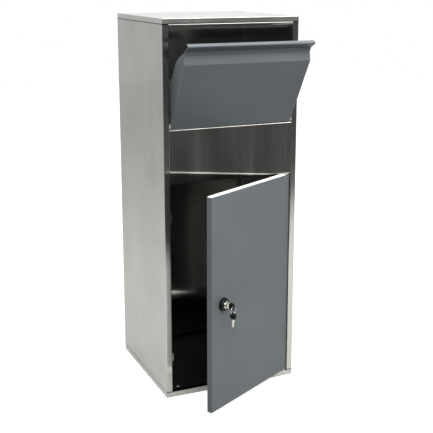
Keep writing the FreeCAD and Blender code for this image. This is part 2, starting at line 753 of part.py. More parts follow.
def make_rivets(spots):
    """Blind rivets through the baffle's flange and the back panel."""
    rivets = []
    for index, spot in enumerate(spots):
        body = new_body(f"baffle_rivet_{index}")
        front = GAUGE - BAFFLE_FACE
        discs(body, "XZ_Plane", front, S["rivet_head_height"], [spot], S["rivet_head_radius"])
        discs(body, "XZ_Plane", -BAFFLE_FACE, GAUGE, [spot], S["rivet_radius"])
        rivets.append(body)
    return group("baffle_rivets", rivets)


def make_bush(label, role, start, flange_side, centre, bore):
    """A flanged bush: its tube passes the sheet that begins at start, its flange lies outside.

    flange_side is 1 where the flange lies past the sheet along the plane's normal, -1 before it.
    """
    body = new_body(label)
    tail = S["bush_tail"]
    flange = S["bush_flange_height"]
    length = GAUGE + tail
    begin = start - tail if flange_side > 0 else start
    discs(body, role, begin, length, [centre], S["bush_radius"])
    flange_start = start + GAUGE if flange_side > 0 else start - flange
    discs(body, role, flange_start, flange, [centre], S["bush_flange_radius"])
    low = begin if flange_side > 0 else flange_start
    discs(body, role, low, length + flange, [centre], bore, cut=True)
    return body


def make_bushes():
    """Nylon bushes: two for the flap in the jambs' returns, two for the door above and below."""
    bore = S["pivot_radius"] + S["pivot_play"]
    flap_axis = (FLAP_AXIS_Y, FLAP_AXIS_Z)
    door_axis = (DOOR_AXIS_X, DOOR_AXIS_Y)
    left = make_bush("flap_bush_left", "YZ_Plane", -CLEAR_HALF - GAUGE, 1, flap_axis, bore)
    right = mirrored(left, "flap_bush_right")
    lower = make_bush("door_bush_lower", "XY_Plane", BODY_BOTTOM - GAUGE, 1, door_axis, bore)
    upper = make_bush("door_bush_upper", "XY_Plane", FASCIA_BOTTOM, -1, door_axis, bore)
    return left, right, lower, upper


def make_door_stop(label, level):
    """An angle on the left side panel whose front leg the closed door rests against."""
    half = S["door_stop_height"] / 2
    gauge = S["door_stop_gauge"]
    front = FRONT + larger(S["door_thickness"], S["jamb_return"]) + S["rest_gap"]
    leg = S["jamb_face"] - GAUGE + S["door_stop_reach"]
    return folded_sheet(
        label, "XY_Plane", level - half, S["door_stop_height"],
        (GAUGE - HALF_WIDTH, front + S["door_stop_leg"]),
        [(S["door_stop_leg"], -90), (leg, 0)], 1, gauge,
    )


# ---------------------------------------------------------------- flap

def flap_runs():
    """The flats of the flap, from its lower edge up to the finger pull and over its nose."""
    pull = (
        (S["pull_recess_length"], S["pull_recess_angle"]),
        (S["pull_band_length"], S["pull_band_angle"]),
        (S["pull_hood_length"], S["pull_hood_angle"]),
    )
    rise = FLAP_TOP - FLAP_BOTTOM
    for length, angle in pull:
        rise = rise - length * sine(angle)
    return [(rise, 90), *pull, (S["pull_top_length"], S["pull_top_angle"])]


def make_flap_panel():
    """The flap's face, folded into a finger pull and a nose along its upper edge."""
    return folded_sheet(
        "flap_panel", "YZ_Plane", -FLAP_HALF, 2 * FLAP_HALF, (FRONT, FLAP_BOTTOM),
        flap_runs(), -1, S["painted_gauge"], S["flap_bend_inside"],
    )


def make_flap_wing():
    """The upright plate behind the flap's left end, which carries a pivot pin and a stop pin."""
    body = new_body("flap_wing_left")
    gauge = S["painted_gauge"]
    runs = flap_runs()
    inner = FRONT + gauge
    recess = (S["pull_recess_length"] * cosine(S["pull_recess_angle"]),
              S["pull_recess_length"] * sine(S["pull_recess_angle"]))
    knee_z = FLAP_BOTTOM + runs[0][0]
    corners = [
        (inner, FLAP_BOTTOM + gauge),
        (inner, knee_z - gauge),
        (inner + recess[0] + gauge, knee_z + recess[1] - gauge),
        (FRONT + S["wing_tip_depth"], FLAP_BOTTOM + S["wing_tip_height"]),
        (FRONT + S["wing_depth"], FLAP_BOTTOM + S["wing_shoulder"]),
        (FRONT + S["wing_depth"], FLAP_BOTTOM + S["wing_heel_height"]),
        (FRONT + S["wing_toe_depth"], FLAP_BOTTOM + gauge),
    ]
    block(body, "YZ_Plane", -FLAP_HALF, gauge, corners)
    shoulder = (gauge / 2 - FLAP_HALF, corners[4][0], corners[4][1])
    fillet(body, S["wing_round"], [shoulder])
    discs(body, "YZ_Plane", -FLAP_HALF, gauge, [(FLAP_AXIS_Y, FLAP_AXIS_Z)], S["pivot_radius"],
          cut=True)
    discs(body, "YZ_Plane", -FLAP_HALF, gauge, [STOP_PIN], S["stop_pin_radius"], cut=True)
    return body


def make_flap_pins():
    """Pivot pins, stop pins and the stop pins' rubber sleeves, one of each at both ends."""
    gauge = S["painted_gauge"]
    pivot = new_body("flap_pivot_pin_left")
    reach = S["flap_side_gap"] + GAUGE + S["bush_tail"]
    discs(pivot, "YZ_Plane", -FLAP_HALF - reach, reach + gauge, [(FLAP_AXIS_Y, FLAP_AXIS_Z)],
          S["pivot_radius"])
    discs(pivot, "YZ_Plane", gauge - FLAP_HALF, gauge, [(FLAP_AXIS_Y, FLAP_AXIS_Z)],
          S["pin_head_radius"])
    stop = new_body("flap_stop_pin_left")
    length = S["stop_pin_length"]
    discs(stop, "YZ_Plane", -FLAP_HALF - length, length + gauge, [STOP_PIN], S["stop_pin_radius"])
    discs(stop, "YZ_Plane", gauge - FLAP_HALF, gauge, [STOP_PIN], S["pin_head_radius"])
    sleeve = new_body("flap_stop_sleeve_left")
    cover = S["stop_sleeve_length"]
    discs(sleeve, "YZ_Plane", -FLAP_HALF - cover, cover, [STOP_PIN], S["stop_sleeve_radius"])
    discs(sleeve, "YZ_Plane", -FLAP_HALF - cover, cover, [STOP_PIN], S["stop_pin_radius"], cut=True)
    return [
        group(f"{name}s", [left, mirrored(left, f"{name}_right")])
        for name, left in (("flap_pivot_pin", pivot), ("flap_stop_pin", stop),
                           ("flap_stop_sleeve", sleeve))
    ]


# ---------------------------------------------------------------- door

def make_door_skin():
    """A pan with its face to the front, its edges folded back and lips folded in behind."""
    body = new_body("door_skin")
    gauge = S["painted_gauge"]
    block(body, "XZ_Plane", -DOOR_BACK, S["door_thickness"],
          rectangle(DOOR_LEFT, DOOR_BOTTOM, DOOR_RIGHT, DOOR_TOP))
    inside = rectangle(DOOR_LEFT + gauge, DOOR_BOTTOM + gauge, DOOR_RIGHT - gauge, DOOR_TOP - gauge)
    block(body, "XZ_Plane", gauge - DOOR_BACK, S["door_thickness"] - 2 * gauge, inside, cut=True)
    lip = S["door_lip"]
    opening = rectangle(DOOR_LEFT + lip, DOOR_BOTTOM + lip, DOOR_RIGHT - lip, DOOR_TOP - lip)
    block(body, "XZ_Plane", -DOOR_BACK, gauge, opening, cut=True)
    hole = S["barrel_radius"] + S["barrel_play"]
    discs(body, "XZ_Plane", -FRONT - gauge, gauge, [(LOCK_X, LOCK_Z)], hole, cut=True)
    for level in (DOOR_BOTTOM, DOOR_TOP - gauge):
        discs(body, "XY_Plane", level, gauge, [(DOOR_AXIS_X, DOOR_AXIS_Y)], S["pivot_radius"],
              cut=True)
    middle_x = (DOOR_LEFT + DOOR_RIGHT) / 2
    middle_z = (DOOR_BOTTOM + DOOR_TOP) / 2
    front_edges = [(middle_x, FRONT, DOOR_TOP), (middle_x, FRONT, DOOR_BOTTOM),
                   (DOOR_LEFT, FRONT, middle_z), (DOOR_RIGHT, FRONT, middle_z)]
    fillet(body, S["door_edge_round"], front_edges)
    return body


def make_door_stiffener():
    """An upright channel inside the door, its feet on the back of the door's face."""
    gauge = S["painted_gauge"]
    height = S["door_thickness"] - 2 * gauge - GAUGE
    centre = (DOOR_LEFT + DOOR_RIGHT) / 2 + S["stiffener_centre"]
    web = S["stiffener_width"] - 2 * S["stiffener_foot"]
    left = centre - S["stiffener_width"] / 2
    clear = S["rest_gap"]
    return folded_sheet(
        "door_stiffener", "XY_Plane", DOOR_BOTTOM + gauge + clear,
        DOOR_TOP - DOOR_BOTTOM - 2 * (gauge + clear),
        (left, FRONT + gauge),
        [(S["stiffener_foot"], 0), (height, 90), (web, 0), (height, -90),
         (S["stiffener_foot"], 0)], 1,
    )


def make_door_seal():
    """A foam strip on the door's upper edge, which ends short of the pivot pin."""
    body = new_body("door_seal")
    inset = S["seal_inset"]
    end = DOOR_AXIS_X - S["seal_pin_gap"]
    outline = rectangle(DOOR_LEFT + inset, FRONT + inset, end, DOOR_BACK - inset)
    block(body, "XY_Plane", DOOR_TOP, S["seal_height"], outline)
    return body


def make_door_pins():
    """Pins that stand out of the door's top and bottom edges into the bushes."""
    gauge = S["painted_gauge"]
    axis = [(DOOR_AXIS_X, DOOR_AXIS_Y)]
    pins = []
    for label, start, head in (
        ("door_pin_upper", DOOR_TOP - gauge, DOOR_TOP - 2 * gauge),
        ("door_pin_lower", DOOR_BOTTOM - S["pin_reach"], DOOR_BOTTOM + gauge),
    ):
        pin = new_body(label)
        discs(pin, "XY_Plane", start, S["pin_reach"] + gauge, axis, S["pivot_radius"])
        discs(pin, "XY_Plane", head, gauge, axis, S["pin_head_radius"])
        pins.append(pin)
    return pins


def make_lock_rosette():
    """An eight-sided rosette round the lock barrel, bevelled round its front."""
    body = new_body("lock_rosette")
    centre = (LOCK_X, LOCK_Z)
    corners = regular_corners(centre, S["rosette_flats"], 8)
    block(body, "XZ_Plane", -FRONT, S["rosette_height"], corners)
    discs(body, "XZ_Plane", -FRONT, S["rosette_height"], [centre],
          S["barrel_radius"] + S["barrel_play"], cut=True)
    face = FRONT - S["rosette_height"]
    edges = []
    for index, corner in enumerate(corners):
        following = corners[(index + 1) % len(corners)]
        edges.append(((corner[0] + following[0]) / 2, face, (corner[1] + following[1]) / 2))
    tip = body.Tip
    bevel = body.newObject("PartDesign::Chamfer", "lock_rosette_chamfer")
    bevel.Base = (tip, edges_at(tip.Shape, edges))
    bevel.setExpression("Size", S["rosette_chamfer"].text)
    DOCUMENT.recompute()
    return body


def make_lock_barrel():
    """The fixed tube that passes through the rosette and the door."""
    body = new_body("lock_barrel")
    centre = [(LOCK_X, LOCK_Z)]
    length = S["barrel_front"] + S["barrel_rear"]
    start = -FRONT - S["barrel_rear"]
    discs(body, "XZ_Plane", start, length, centre, S["barrel_radius"])
    discs(body, "XZ_Plane", start, length, centre, S["plug_radius"] + S["plug_play"], cut=True)
    return body


def make_lock_nut():
    """The nut that clamps the barrel from behind the door's face."""
    body = new_body("lock_nut")
    centre = (LOCK_X, LOCK_Z)
    start = -FRONT - S["painted_gauge"] - S["nut_height"]
    block(body, "XZ_Plane", start, S["nut_height"], regular_corners(centre, S["nut_flats"], 6))
    discs(body, "XZ_Plane", start, S["nut_height"], [centre], S["barrel_radius"] + S["barrel_play"],
          cut=True)
    return body


# ---------------------------------------------------------------- lock cylinder and keys

def make_lock_plug():
    """The turning cylinder, with a head in front of the barrel and a slot for the key."""
    body = new_body("lock_plug")
    centre = [(LOCK_X, LOCK_Z)]
    head = -FRONT + S["barrel_front"] + S["rest_gap"]
    discs(body, "XZ_Plane", CAM_FRONT, head - CAM_FRONT, centre, S["plug_radius"])
    discs(body, "XZ_Plane", head, PLUG_FACE - head, centre, S["plug_head_radius"])
    half_gauge = S["key_gauge"] / 2 + S["key_play"]
    half_width = S["key_blade_width"] / 2 + S["key_play"]
    depth = S["key_blade_length"] - S["key_shoulder"] + 2 * S["key_play"]
    slot = rectangle(LOCK_X - half_gauge, LOCK_Z - half_width, LOCK_X + half_gauge,
                     LOCK_Z + half_width)
    block(body, "XZ_Plane", PLUG_FACE - depth, depth, slot, cut=True)
    return body


def make_lock_cam():
    """The latch arm behind the door, hanging down while the lock is open."""
    body = new_body("lock_cam")
    discs(body, "XZ_Plane", CAM_REAR, S["cam_gauge"], [(LOCK_X, LOCK_Z)], S["cam_width"] / 2)
    half_arm = S["cam_arm_width"] / 2
    arm = rectangle(LOCK_X - half_arm, LOCK_Z - S["cam_reach"], LOCK_X + half_arm, LOCK_Z)
    block(body, "XZ_Plane", CAM_REAR, S["cam_gauge"], arm)
    return body


def make_cam_screw():
    """The screw's head behind the cam."""
    body = new_body("cam_screw")
    discs(body, "XZ_Plane", CAM_REAR - S["cam_screw_height"], S["cam_screw_height"],
          [(LOCK_X, LOCK_Z)], S["cam_screw_radius"])
    return body


def bow_ends(hanging):
    """Where a key's bow begins, at the blade, and where it ends.

    The key in the lock is measured forwards along the lock's axis. The spare one hangs from the
    ring and is measured upwards.
    """
    if hanging:
        hole = RING_CENTRE_Z - S["ring_radius"] + S["ring_wire"] + RING_SAG + S["ring_seat"]
        hole = hole - S["bow_hole_radius"]
        end = hole + S["bow_hole_inset"]
        return end - S["bow_size"], end
    return BOW_BASE, BOW_END


def key_corners(base, end, middle, upright):
    """The outline of a key's bow in the plane of its blade, as (forwards, up) pairs."""
    half = S["bow_size"] / 2
    cut = S["bow_corner"]
    outline = [
        (base, middle - half + cut), (base, middle + half - cut), (base + cut, middle + half),
        (end - cut, middle + half), (end, middle + half - cut), (end, middle - half + cut),
        (end - cut, middle - half), (base + cut, middle - half),
    ]
    return [(across, along) if upright else (-along, across) for along, across in outline]


def make_key(prefix, hanging):
    """A key: a steel blade and a moulded bow whose plane is upright and square to the door."""
    base, end = bow_ends(hanging)
    half_bow = S["bow_thickness"] / 2
    half_gauge = S["key_gauge"] / 2
    half_blade = S["key_blade_width"] / 2
    middle = KEY_HOLE_Y if hanging else LOCK_Z
    outline = key_corners(base, end, middle, hanging)
    tip = base - S["key_blade_length"]
    tang = base + S["bow_tang"]
    hole = (middle, end - S["bow_hole_inset"]) if hanging else (-end + S["bow_hole_inset"], middle)
    if hanging:
        blade = rectangle(middle - half_blade, tip, middle + half_blade, tang)
    else:
        blade = rectangle(-tang, middle - half_blade, -tip, middle + half_blade)
    bow_body = new_body(f"{prefix}_bow")
    block(bow_body, "YZ_Plane", LOCK_X - half_bow, S["bow_thickness"], outline)
    discs(bow_body, "YZ_Plane", LOCK_X - half_bow, S["bow_thickness"], [hole],
          S["bow_hole_radius"], cut=True)
    block(bow_body, "YZ_Plane", LOCK_X - half_gauge, S["key_gauge"], blade, cut=True)
    blade_body = new_body(f"{prefix}_blade")
    block(blade_body, "YZ_Plane", LOCK_X - half_gauge, S["key_gauge"], blade)
    return bow_body, blade_body


def make_key_ring():
    """A wire ring that hangs through the bow of the key in the lock."""
    ring = DOCUMENT.addObject("Part::Torus", "key_ring_wire")
    ring.setExpression("Radius1", S["ring_radius"].text)
    ring.setExpression("Radius2", S["ring_wire"].text)
    ring.Placement = FreeCAD.Placement(
        FreeCAD.Vector(), FreeCAD.Rotation(FreeCAD.Vector(1, 0, 0), 90)
    )
    ring.setExpression("Placement.Base.x", LOCK_X.text)
    ring.setExpression("Placement.Base.y", KEY_HOLE_Y.text)
    ring.setExpression("Placement.Base.z", RING_CENTRE_Z.text)
    return group("key_ring", [ring])


# ---------------------------------------------------------------- the whole box

def build():
    """Make every sub-part and return them in the order in which they are written."""
    cabinet = [make_base_tray(), make_floor_mat(), *make_side_panels(), make_back_panel(),
               make_header_rail(), make_fascia_panel(), make_lid_tray(), *make_screws()]
    baffle, spots = make_baffle()
    cabinet += [baffle, make_rivets(spots), *make_bushes(),
                make_door_stop("door_stop_lower", S["door_stop_low"]),
                make_door_stop("door_stop_upper", S["door_stop_high"])]
    wing = make_flap_wing()
    flap = swing_flap(make_flap_panel(), wing, *make_flap_pins())
    flap.append(mirrored(wing, "flap_wing_right"))
    door = swing_door(make_door_skin(), make_door_stiffener(), make_door_seal(), *make_door_pins(),
                      make_lock_rosette(), make_lock_barrel(), make_lock_nut())
    lock = swing_door(make_lock_plug(), make_lock_cam(), make_cam_screw())
    keys = swing_door(*make_key("key", False), make_key_ring(), *make_key("spare_key", True))
    return cabinet + flap + door + lock + keys


def check_and_write(pieces):
    """Stop on anything that failed to build, then write each sub-part to its own file."""
    DOCUMENT.recompute()
    for item in DOCUMENT.Objects:
        if "Invalid" in item.State or "Error" in item.State:
            raise RuntimeError(f"{item.Label} failed: {item.State}")
    os.makedirs("parts", exist_ok=True)
    for piece in pieces:
        shape = piece.Shape
        if shape.isNull() or not shape.isValid():
            raise RuntimeError(f"{piece.Label} has no valid shape")
        shape.exportStep(f"parts/{piece.Label}.step")
        print(f"{piece.Label}: {len(shape.Solids)} solid(s), {shape.Volume / 1000:.2f} cm3")


check_and_write(build())
print(f"door axis: x {DOOR_AXIS_X.value:.3f}, y {DOOR_AXIS_Y.value:.3f}")
print(f"flap axis: y {FLAP_AXIS_Y.value:.3f}, z {FLAP_AXIS_Z.value:.3f}")
print(f"lock axis while closed: x {LOCK_X.value:.3f}, z {LOCK_Z.value:.3f}")
print(f"ring while closed: y {KEY_HOLE_Y.value:.3f}, top z {RING_TOP_Z.value:.3f}")
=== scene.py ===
"""Looks of a free-standing parcel drop box.

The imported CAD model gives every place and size. The classes below dress its nodes with
procedural finishes and put detailed pieces where a CAD solid is only a plain shape.
"""

import json
import logging
import math
from collections.abc import Callable, Iterable, Sequence
from dataclasses import dataclass, field
from enum import Enum

import bmesh
import bpy
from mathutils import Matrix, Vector


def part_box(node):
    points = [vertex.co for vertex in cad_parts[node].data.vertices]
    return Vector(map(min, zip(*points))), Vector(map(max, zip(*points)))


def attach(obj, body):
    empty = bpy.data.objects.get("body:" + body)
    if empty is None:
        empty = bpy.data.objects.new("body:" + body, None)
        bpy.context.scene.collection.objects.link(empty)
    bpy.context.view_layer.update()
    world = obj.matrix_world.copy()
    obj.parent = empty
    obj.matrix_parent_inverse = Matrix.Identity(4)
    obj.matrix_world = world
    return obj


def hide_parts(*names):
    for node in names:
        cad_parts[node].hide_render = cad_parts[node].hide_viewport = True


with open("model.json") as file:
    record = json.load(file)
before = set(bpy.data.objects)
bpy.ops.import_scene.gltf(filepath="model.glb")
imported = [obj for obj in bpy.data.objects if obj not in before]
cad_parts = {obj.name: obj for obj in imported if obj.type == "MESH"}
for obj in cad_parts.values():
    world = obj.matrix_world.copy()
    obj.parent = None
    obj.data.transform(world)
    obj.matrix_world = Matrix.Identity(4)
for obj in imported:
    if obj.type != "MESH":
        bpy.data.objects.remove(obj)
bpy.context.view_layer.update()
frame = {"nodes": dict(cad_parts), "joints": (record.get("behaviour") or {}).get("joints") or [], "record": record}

LOG = logging.getLogger("parcel_box")
MM = 0.001
MAP_RANGE = "ShaderNodeMapRange"
MATH = "ShaderNodeMath"
MIX = "ShaderNodeMix"
SEPARATE = "ShaderNodeSeparateXYZ"
COLOUR_MIX = {"data_type": "RGBA"}
PRODUCT = {"operation": "MULTIPLY"}
Tree = bpy.types.NodeTree
Node = bpy.types.Node
Socket = bpy.types.NodeSocket
Mesh = bpy.types.Mesh
Shape = bmesh.types.BMesh
Setting = float | int | bool | str | tuple | bpy.types.ID | Socket


class Body(Enum):
    """The moving groups of the box."""

    CABINET = "cabinet"
    FLAP = "flap"
    DOOR = "door"
    LOCK = "lock"
    KEY = "key"
    RING = "ring"
    SPARE_KEY = "spare_key"


class Grain(Enum):
    """The direction in which a steel sheet was brushed, as the stretch of its lines on X, Y and Z."""

    ALONG_X = (1, 0, 0)
    ALONG_Z = (0, 0, 1)


# ---------------------------------------------------------------- node helpers

def linear(code: str, alpha: float = 1.0) -> tuple[float, float, float, float]:
    """Turn an sRGB hex colour to linear light.

    Args:
        code: six hex digits after a hash.
        alpha: the fourth value.

    Returns:
        Red, green, blue and alpha.
    """
    parts = [int(code[start:start + 2], 16) / 255 for start in (1, 3, 5)]
    light = [part / 12.92 if part <= 0.04045 else ((part + 0.055) / 1.055) ** 2.4 for part in parts]
    return (*light, alpha)


def add_node(
    tree: Tree,
    kind: str,
    settings: dict[str, Setting] | None = None,
    inputs: dict[str | int, Setting] | Sequence[Setting] = (),
) -> Node:
    """Add one node with its settings, its values and its links.

    Args:
        tree: the tree that takes the node.
        kind: Blender's name for the node.
        settings: properties of the node itself.
        inputs: values or sockets by the input's name or number, or in the inputs' order.

    Returns:
        The new node.
    """
    node = tree.nodes.new(kind)
    for name, value in (settings or {}).items():
        setattr(node, name, value)
    for name, value in inputs.items() if isinstance(inputs, dict) else enumerate(inputs):
        if isinstance(value, Socket):
            tree.links.new(value, node.inputs[name])
        else:
            node.inputs[name].default_value = value
    return node


# ---------------------------------------------------------------- finishes

@dataclass(frozen=True)
class Finish:
    """What every finish has: a name, the record's slot and a way to make its material."""

    name: str
    slot: str

    def material(self) -> bpy.types.Material:
        """Return the finish's material, made once."""
        known = bpy.data.materials.get(self.name)
        if known is not None:
            return known
        made = bpy.data.materials.new(self.name)
        made.use_nodes = True
        tree = made.node_tree
        shader = tree.nodes["Principled BSDF"]
        coordinates = add_node(tree, "ShaderNodeTexCoord").outputs["Object"]
        self.dress(tree, shader, coordinates)
        return made

    def dress(self, tree: Tree, shader: Node, place: Socket) -> None:
        """Add the finish's own nodes.

        Args:
            tree: the material's nodes.
            shader: the surface shader.
            place: the point on the piece, in metres.
        """
        raise NotImplementedError

    @staticmethod
    def uneven(
        tree: Tree,
        place: Socket,
        size_mm: Sequence[float],
        detail: float = 3.0,
        roughness: float = 0.55,
    ) -> Socket:
        """Uneven tone with a grain of a given size.

        Args:
            tree: the material's nodes.
            place: the point on the piece, in metres.
            size_mm: the grain's size along X, Y and Z.
            detail: how many finer layers it has.
            roughness: how strong the finer layers are.

        Returns:
            A value about 0.5.
        """
        scale = tuple(1.0 / (size * MM) for size in size_mm)
        grid = add_node(tree, "ShaderNodeMapping", {}, {"Vector": place, "Scale": scale}).outputs[0]
        layers = {"Vector": grid, "Scale": 1.0, "Detail": detail, "Roughness": roughness}
        return add_node(tree, "ShaderNodeTexNoise", {}, layers).outputs[0]

    @staticmethod
    def two_tones(
        tree: Tree,
        pattern: Socket,
        dark: str,
        light: str,
        ends: tuple[float, float] = (0.3, 0.7),
    ) -> Socket:
        """Colour a pattern.

        Args:
            tree: the material's nodes.
            pattern: the pattern's value.
            dark: the colour at the pattern's low end.
            light: the colour at its high end.
            ends: the pattern's values at both ends.

        Returns:
            The colour.
        """
        share = add_node(tree, MAP_RANGE, {}, (pattern, *ends, 0.0, 1.0)).outputs[0]
        tones = {0: share, 6: linear(dark), 7: linear(light)}
        return add_node(tree, MIX, COLOUR_MIX, tones).outputs[2]

    @staticmethod
    def surface(
        tree: Tree,
        shader: Node,
        colour: Socket,
        rough: Socket,
        relief: tuple[Socket, float, float],
    ) -> None:
        """Link what the surface shader needs.

        Args:
            tree: the material's nodes.
            shader: the surface shader.
            colour: the base colour.
            rough: the roughness.
            relief: the relief's pattern, its depth in millimetres and its strength.
        """
        height, depth_mm, strength = relief
        bump = {"Height": height, "Distance": depth_mm * MM, "Strength": strength}
        tree.links.new(colour, shader.inputs["Base Color"])
        tree.links.new(rough, shader.inputs["Roughness"])
        tree.links.new(add_node(tree, "ShaderNodeBump", {}, bump).outputs[0], shader.inputs["Normal"])


@dataclass(frozen=True)
class BrushedStainless(Finish):
    """Stainless sheet, belt-brushed: long fine lines, soft streaks and a few handling marks."""

    grain: Grain = Grain.ALONG_Z
    light: str = "#afada8"
    dark: str = "#a8a6a1"
    # Belt lines are about 0.2 mm apart. They are drawn 1.2 mm apart, so that they show.
    line_mm: float = 1.2
    streak_mm: float = 9.0
    line_length_mm: float = 260.0
    smudge_mm: float = 110.0
    # Painted shade: a dark band along the joints at these heights, where the folded edges of lid and base shade
    # the sheet.
    joint_shade_heights_m: tuple[float, ...] = ()
    joint_shade_half_mm: float = 1.4
    joint_shade_colour: str = "#14140f"
    sheet_mm: float = 1.2
    line_depth_mm: float = 0.02
    gloss: tuple[float, float] = (0.19, 0.23)
    relief_strength: float = 0.06
    # Brush lines spread a reflection sideways and leave it sharp along them.
    stretch: float = 0.95
    # Sheet whose front fold lies at this depth is glossier there. The cause is a guess: the fold
    # may have been rubbed bright by the tool.
    bright_front_m: float = -1.0
    bright_gloss: float = 0.85
    # The lines are taken as slightly slanted, so that they have a direction on every fold.
    slant: float = 0.05

    def dress(self, tree: Tree, shader: Node, place: Socket) -> None:
        """Add brush lines, streaks, smudges and painted shade along the joints between sheets.

        Args:
            tree: the material's nodes.
            shader: the surface shader.
            place: the point on the piece, in metres.
        """
        def stretched(width: float) -> tuple[float, ...]:
            """Return a pattern's size on X, Y and Z, drawn out along the grain."""
            return tuple(self.line_length_mm if axis else width for axis in self.grain.value)

        lines = self.uneven(tree, place, stretched(self.line_mm), 4.0, 0.7)
        streaks = self.uneven(tree, place, stretched(self.streak_mm), 2.0)
        smudges = self.uneven(tree, place, (self.smudge_mm,) * 3, 3.0)
        tone = add_node(tree, MATH, PRODUCT, (lines, streaks)).outputs[0]
        colour = self.two_tones(tree, tone, self.dark, self.light, (0.12, 0.38))
        # Painted shade along each joint.
        for height in self.joint_shade_heights_m:
            tones = {0: self.joint_shade_mask(tree, place, height), 6: colour, 7: linear(self.joint_shade_colour)}
            colour = add_node(tree, MIX, COLOUR_MIX, tones).outputs[2]
        fine = add_node(tree, MAP_RANGE, {}, (lines, 0.3, 0.7, *self.gloss)).outputs[0]
        dull = add_node(tree, MAP_RANGE, {}, (smudges, 0.45, 0.7, 0.0, self.gloss[0] / 4)).outputs[0]
        depth = add_node(tree, SEPARATE, {}, (place,)).outputs["Y"]
        start = self.bright_front_m + self.sheet_mm * MM / 2
        end = self.bright_front_m + self.sheet_mm * MM * 3 / 2
        fold = add_node(tree, MAP_RANGE, {}, (depth, start, end, self.bright_gloss, 1.0)).outputs[0]
        worn = add_node(tree, MATH, {"operation": "ADD"}, (fine, dull)).outputs[0]
        rough = add_node(tree, MATH, PRODUCT, (worn, fold)).outputs[0]
        shader.inputs["Metallic"].default_value = 1.0
        shader.inputs["Anisotropic"].default_value = self.stretch
        facing = add_node(tree, "ShaderNodeNewGeometry").outputs["Normal"]
        slanted = tuple(value + self.slant for value in self.grain.value)
        cross = {"operation": "CROSS_PRODUCT"}
        across = add_node(tree, "ShaderNodeVectorMath", cross, (facing, slanted)).outputs["Vector"]
        tree.links.new(across, shader.inputs["Tangent"])
        relief = (lines, self.line_depth_mm, self.relief_strength)
        self.surface(tree, shader, colour, rough, relief)

    def joint_shade_mask(self, tree: Tree, place: Socket, height: float) -> Socket:
        """Say how near a point is to the joint at a height, where the shade is painted.

        Args:
            tree: the material's nodes.
            place: the point on the piece, in metres.
            height: the joint's height in metres.

        Returns:
            1 in the joint, 0 away from it.
        """
        upright = add_node(tree, SEPARATE, {}, (place,)).outputs["Z"]
        above = add_node(tree, MATH, {"operation": "SUBTRACT"}, (upright, height)).outputs[0]
        away = add_node(tree, MATH, {"operation": "ABSOLUTE"}, (above,)).outputs[0]
        half = self.joint_shade_half_mm * MM
        return add_node(tree, MAP_RANGE, {}, (away, half * 0.7, half, 1.0, 0.0)).outputs[0]


@dataclass(frozen=True)
class PowderCoat(Finish):
    """Baked powder coat on steel: a satin skin with a slight orange peel, paler on worn edges."""

    base: str = "#585d60"
    shade: str = "#515659"
    worn: str = "#8d9294"
    # Orange peel is about 0.6 mm across. It is drawn 2.2 mm across, so that it shows.
    peel_mm: float = 2.2
    peel_depth_mm: float = 0.05
    cloud_mm: float = 140.0
    edge_mm: float = 1.4
    gloss: tuple[float, float] = (0.34, 0.42)
    # Lower than the usual 0.5, matched to how dull the paint is.
    specular: float = 0.2

    def dress(self, tree: Tree, shader: Node, place: Socket) -> None:
        """Add the peel, the soft clouds of tone and the worn edges.

        Args:
            tree: the material's nodes.
            shader: the surface shader.
            place: the point on the piece, in metres.
        """
        peel = self.uneven(tree, place, (self.peel_mm,) * 3, 2.0)
        clouds = self.uneven(tree, place, (self.cloud_mm,) * 3, 4.0)
        specks = self.uneven(tree, place, (self.peel_mm * 2,) * 3, 5.0, 0.7)
        colour = self.two_tones(tree, clouds, self.shade, self.base)
        reach_in = {"Radius": self.edge_mm * MM}
        rounded = add_node(tree, "ShaderNodeBevel", {"samples": 4}, reach_in).outputs[0]
        flat = add_node(tree, "ShaderNodeNewGeometry").outputs["Normal"]
        dot = {"operation": "DOT_PRODUCT"}
        facing = add_node(tree, "ShaderNodeVectorMath", dot, (rounded, flat)).outputs["Value"]
        edge = add_node(tree, MAP_RANGE, {}, (facing, 0.75, 0.985, 1.0, 0.0)).outputs[0]
        chipped = add_node(tree, MAP_RANGE, {}, (specks, 0.4, 0.62, 0.1, 0.8)).outputs[0]
        broken = add_node(tree, MATH, PRODUCT, (edge, chipped)).outputs[0]
        tones = {0: broken, 6: colour, 7: linear(self.worn)}
        colour = add_node(tree, MIX, COLOUR_MIX, tones).outputs[2]
        rough = add_node(tree, MAP_RANGE, {}, (clouds, 0.3, 0.7, *self.gloss)).outputs[0]
        shader.inputs["Specular IOR Level"].default_value = self.specular
        self.surface(tree, shader, colour, rough, (peel, self.peel_depth_mm, 0.35))


@dataclass(frozen=True)
class Moulded(Finish):
    """Moulded plastic or rubber: an eroded mould texture and a soft sheen."""

    base: str = "#070808"
    shade: str = "#040505"
    # Spark-eroded moulds leave a grain of about 0.1 mm. It is drawn 0.5 mm across, so that it shows.
    grain_mm: float = 0.5
    depth_mm: float = 0.03
    gloss: tuple[float, float] = (0.3, 0.4)
    # Lower than the usual 0.5, matched to how deep the black is.
    specular: float = 0.15

    def dress(self, tree: Tree, shader: Node, place: Socket) -> None:
        """Add the mould grain and a slight change of tone and gloss.

        Args:
            tree: the material's nodes.
            shader: the surface shader.
            place: the point on the piece, in metres.
        """
        grain = self.uneven(tree, place, (self.grain_mm,) * 3, 2.0)
        flow = self.uneven(tree, place, (self.grain_mm * 16,) * 3, 3.0)
        colour = self.two_tones(tree, flow, self.shade, self.base)
        rough = add_node(tree, MAP_RANGE, {}, (flow, 0.3, 0.7, *self.gloss)).outputs[0]
        shader.inputs["Specular IOR Level"].default_value = self.specular
        self.surface(tree, shader, colour, rough, (grain, self.depth_mm, 0.5))


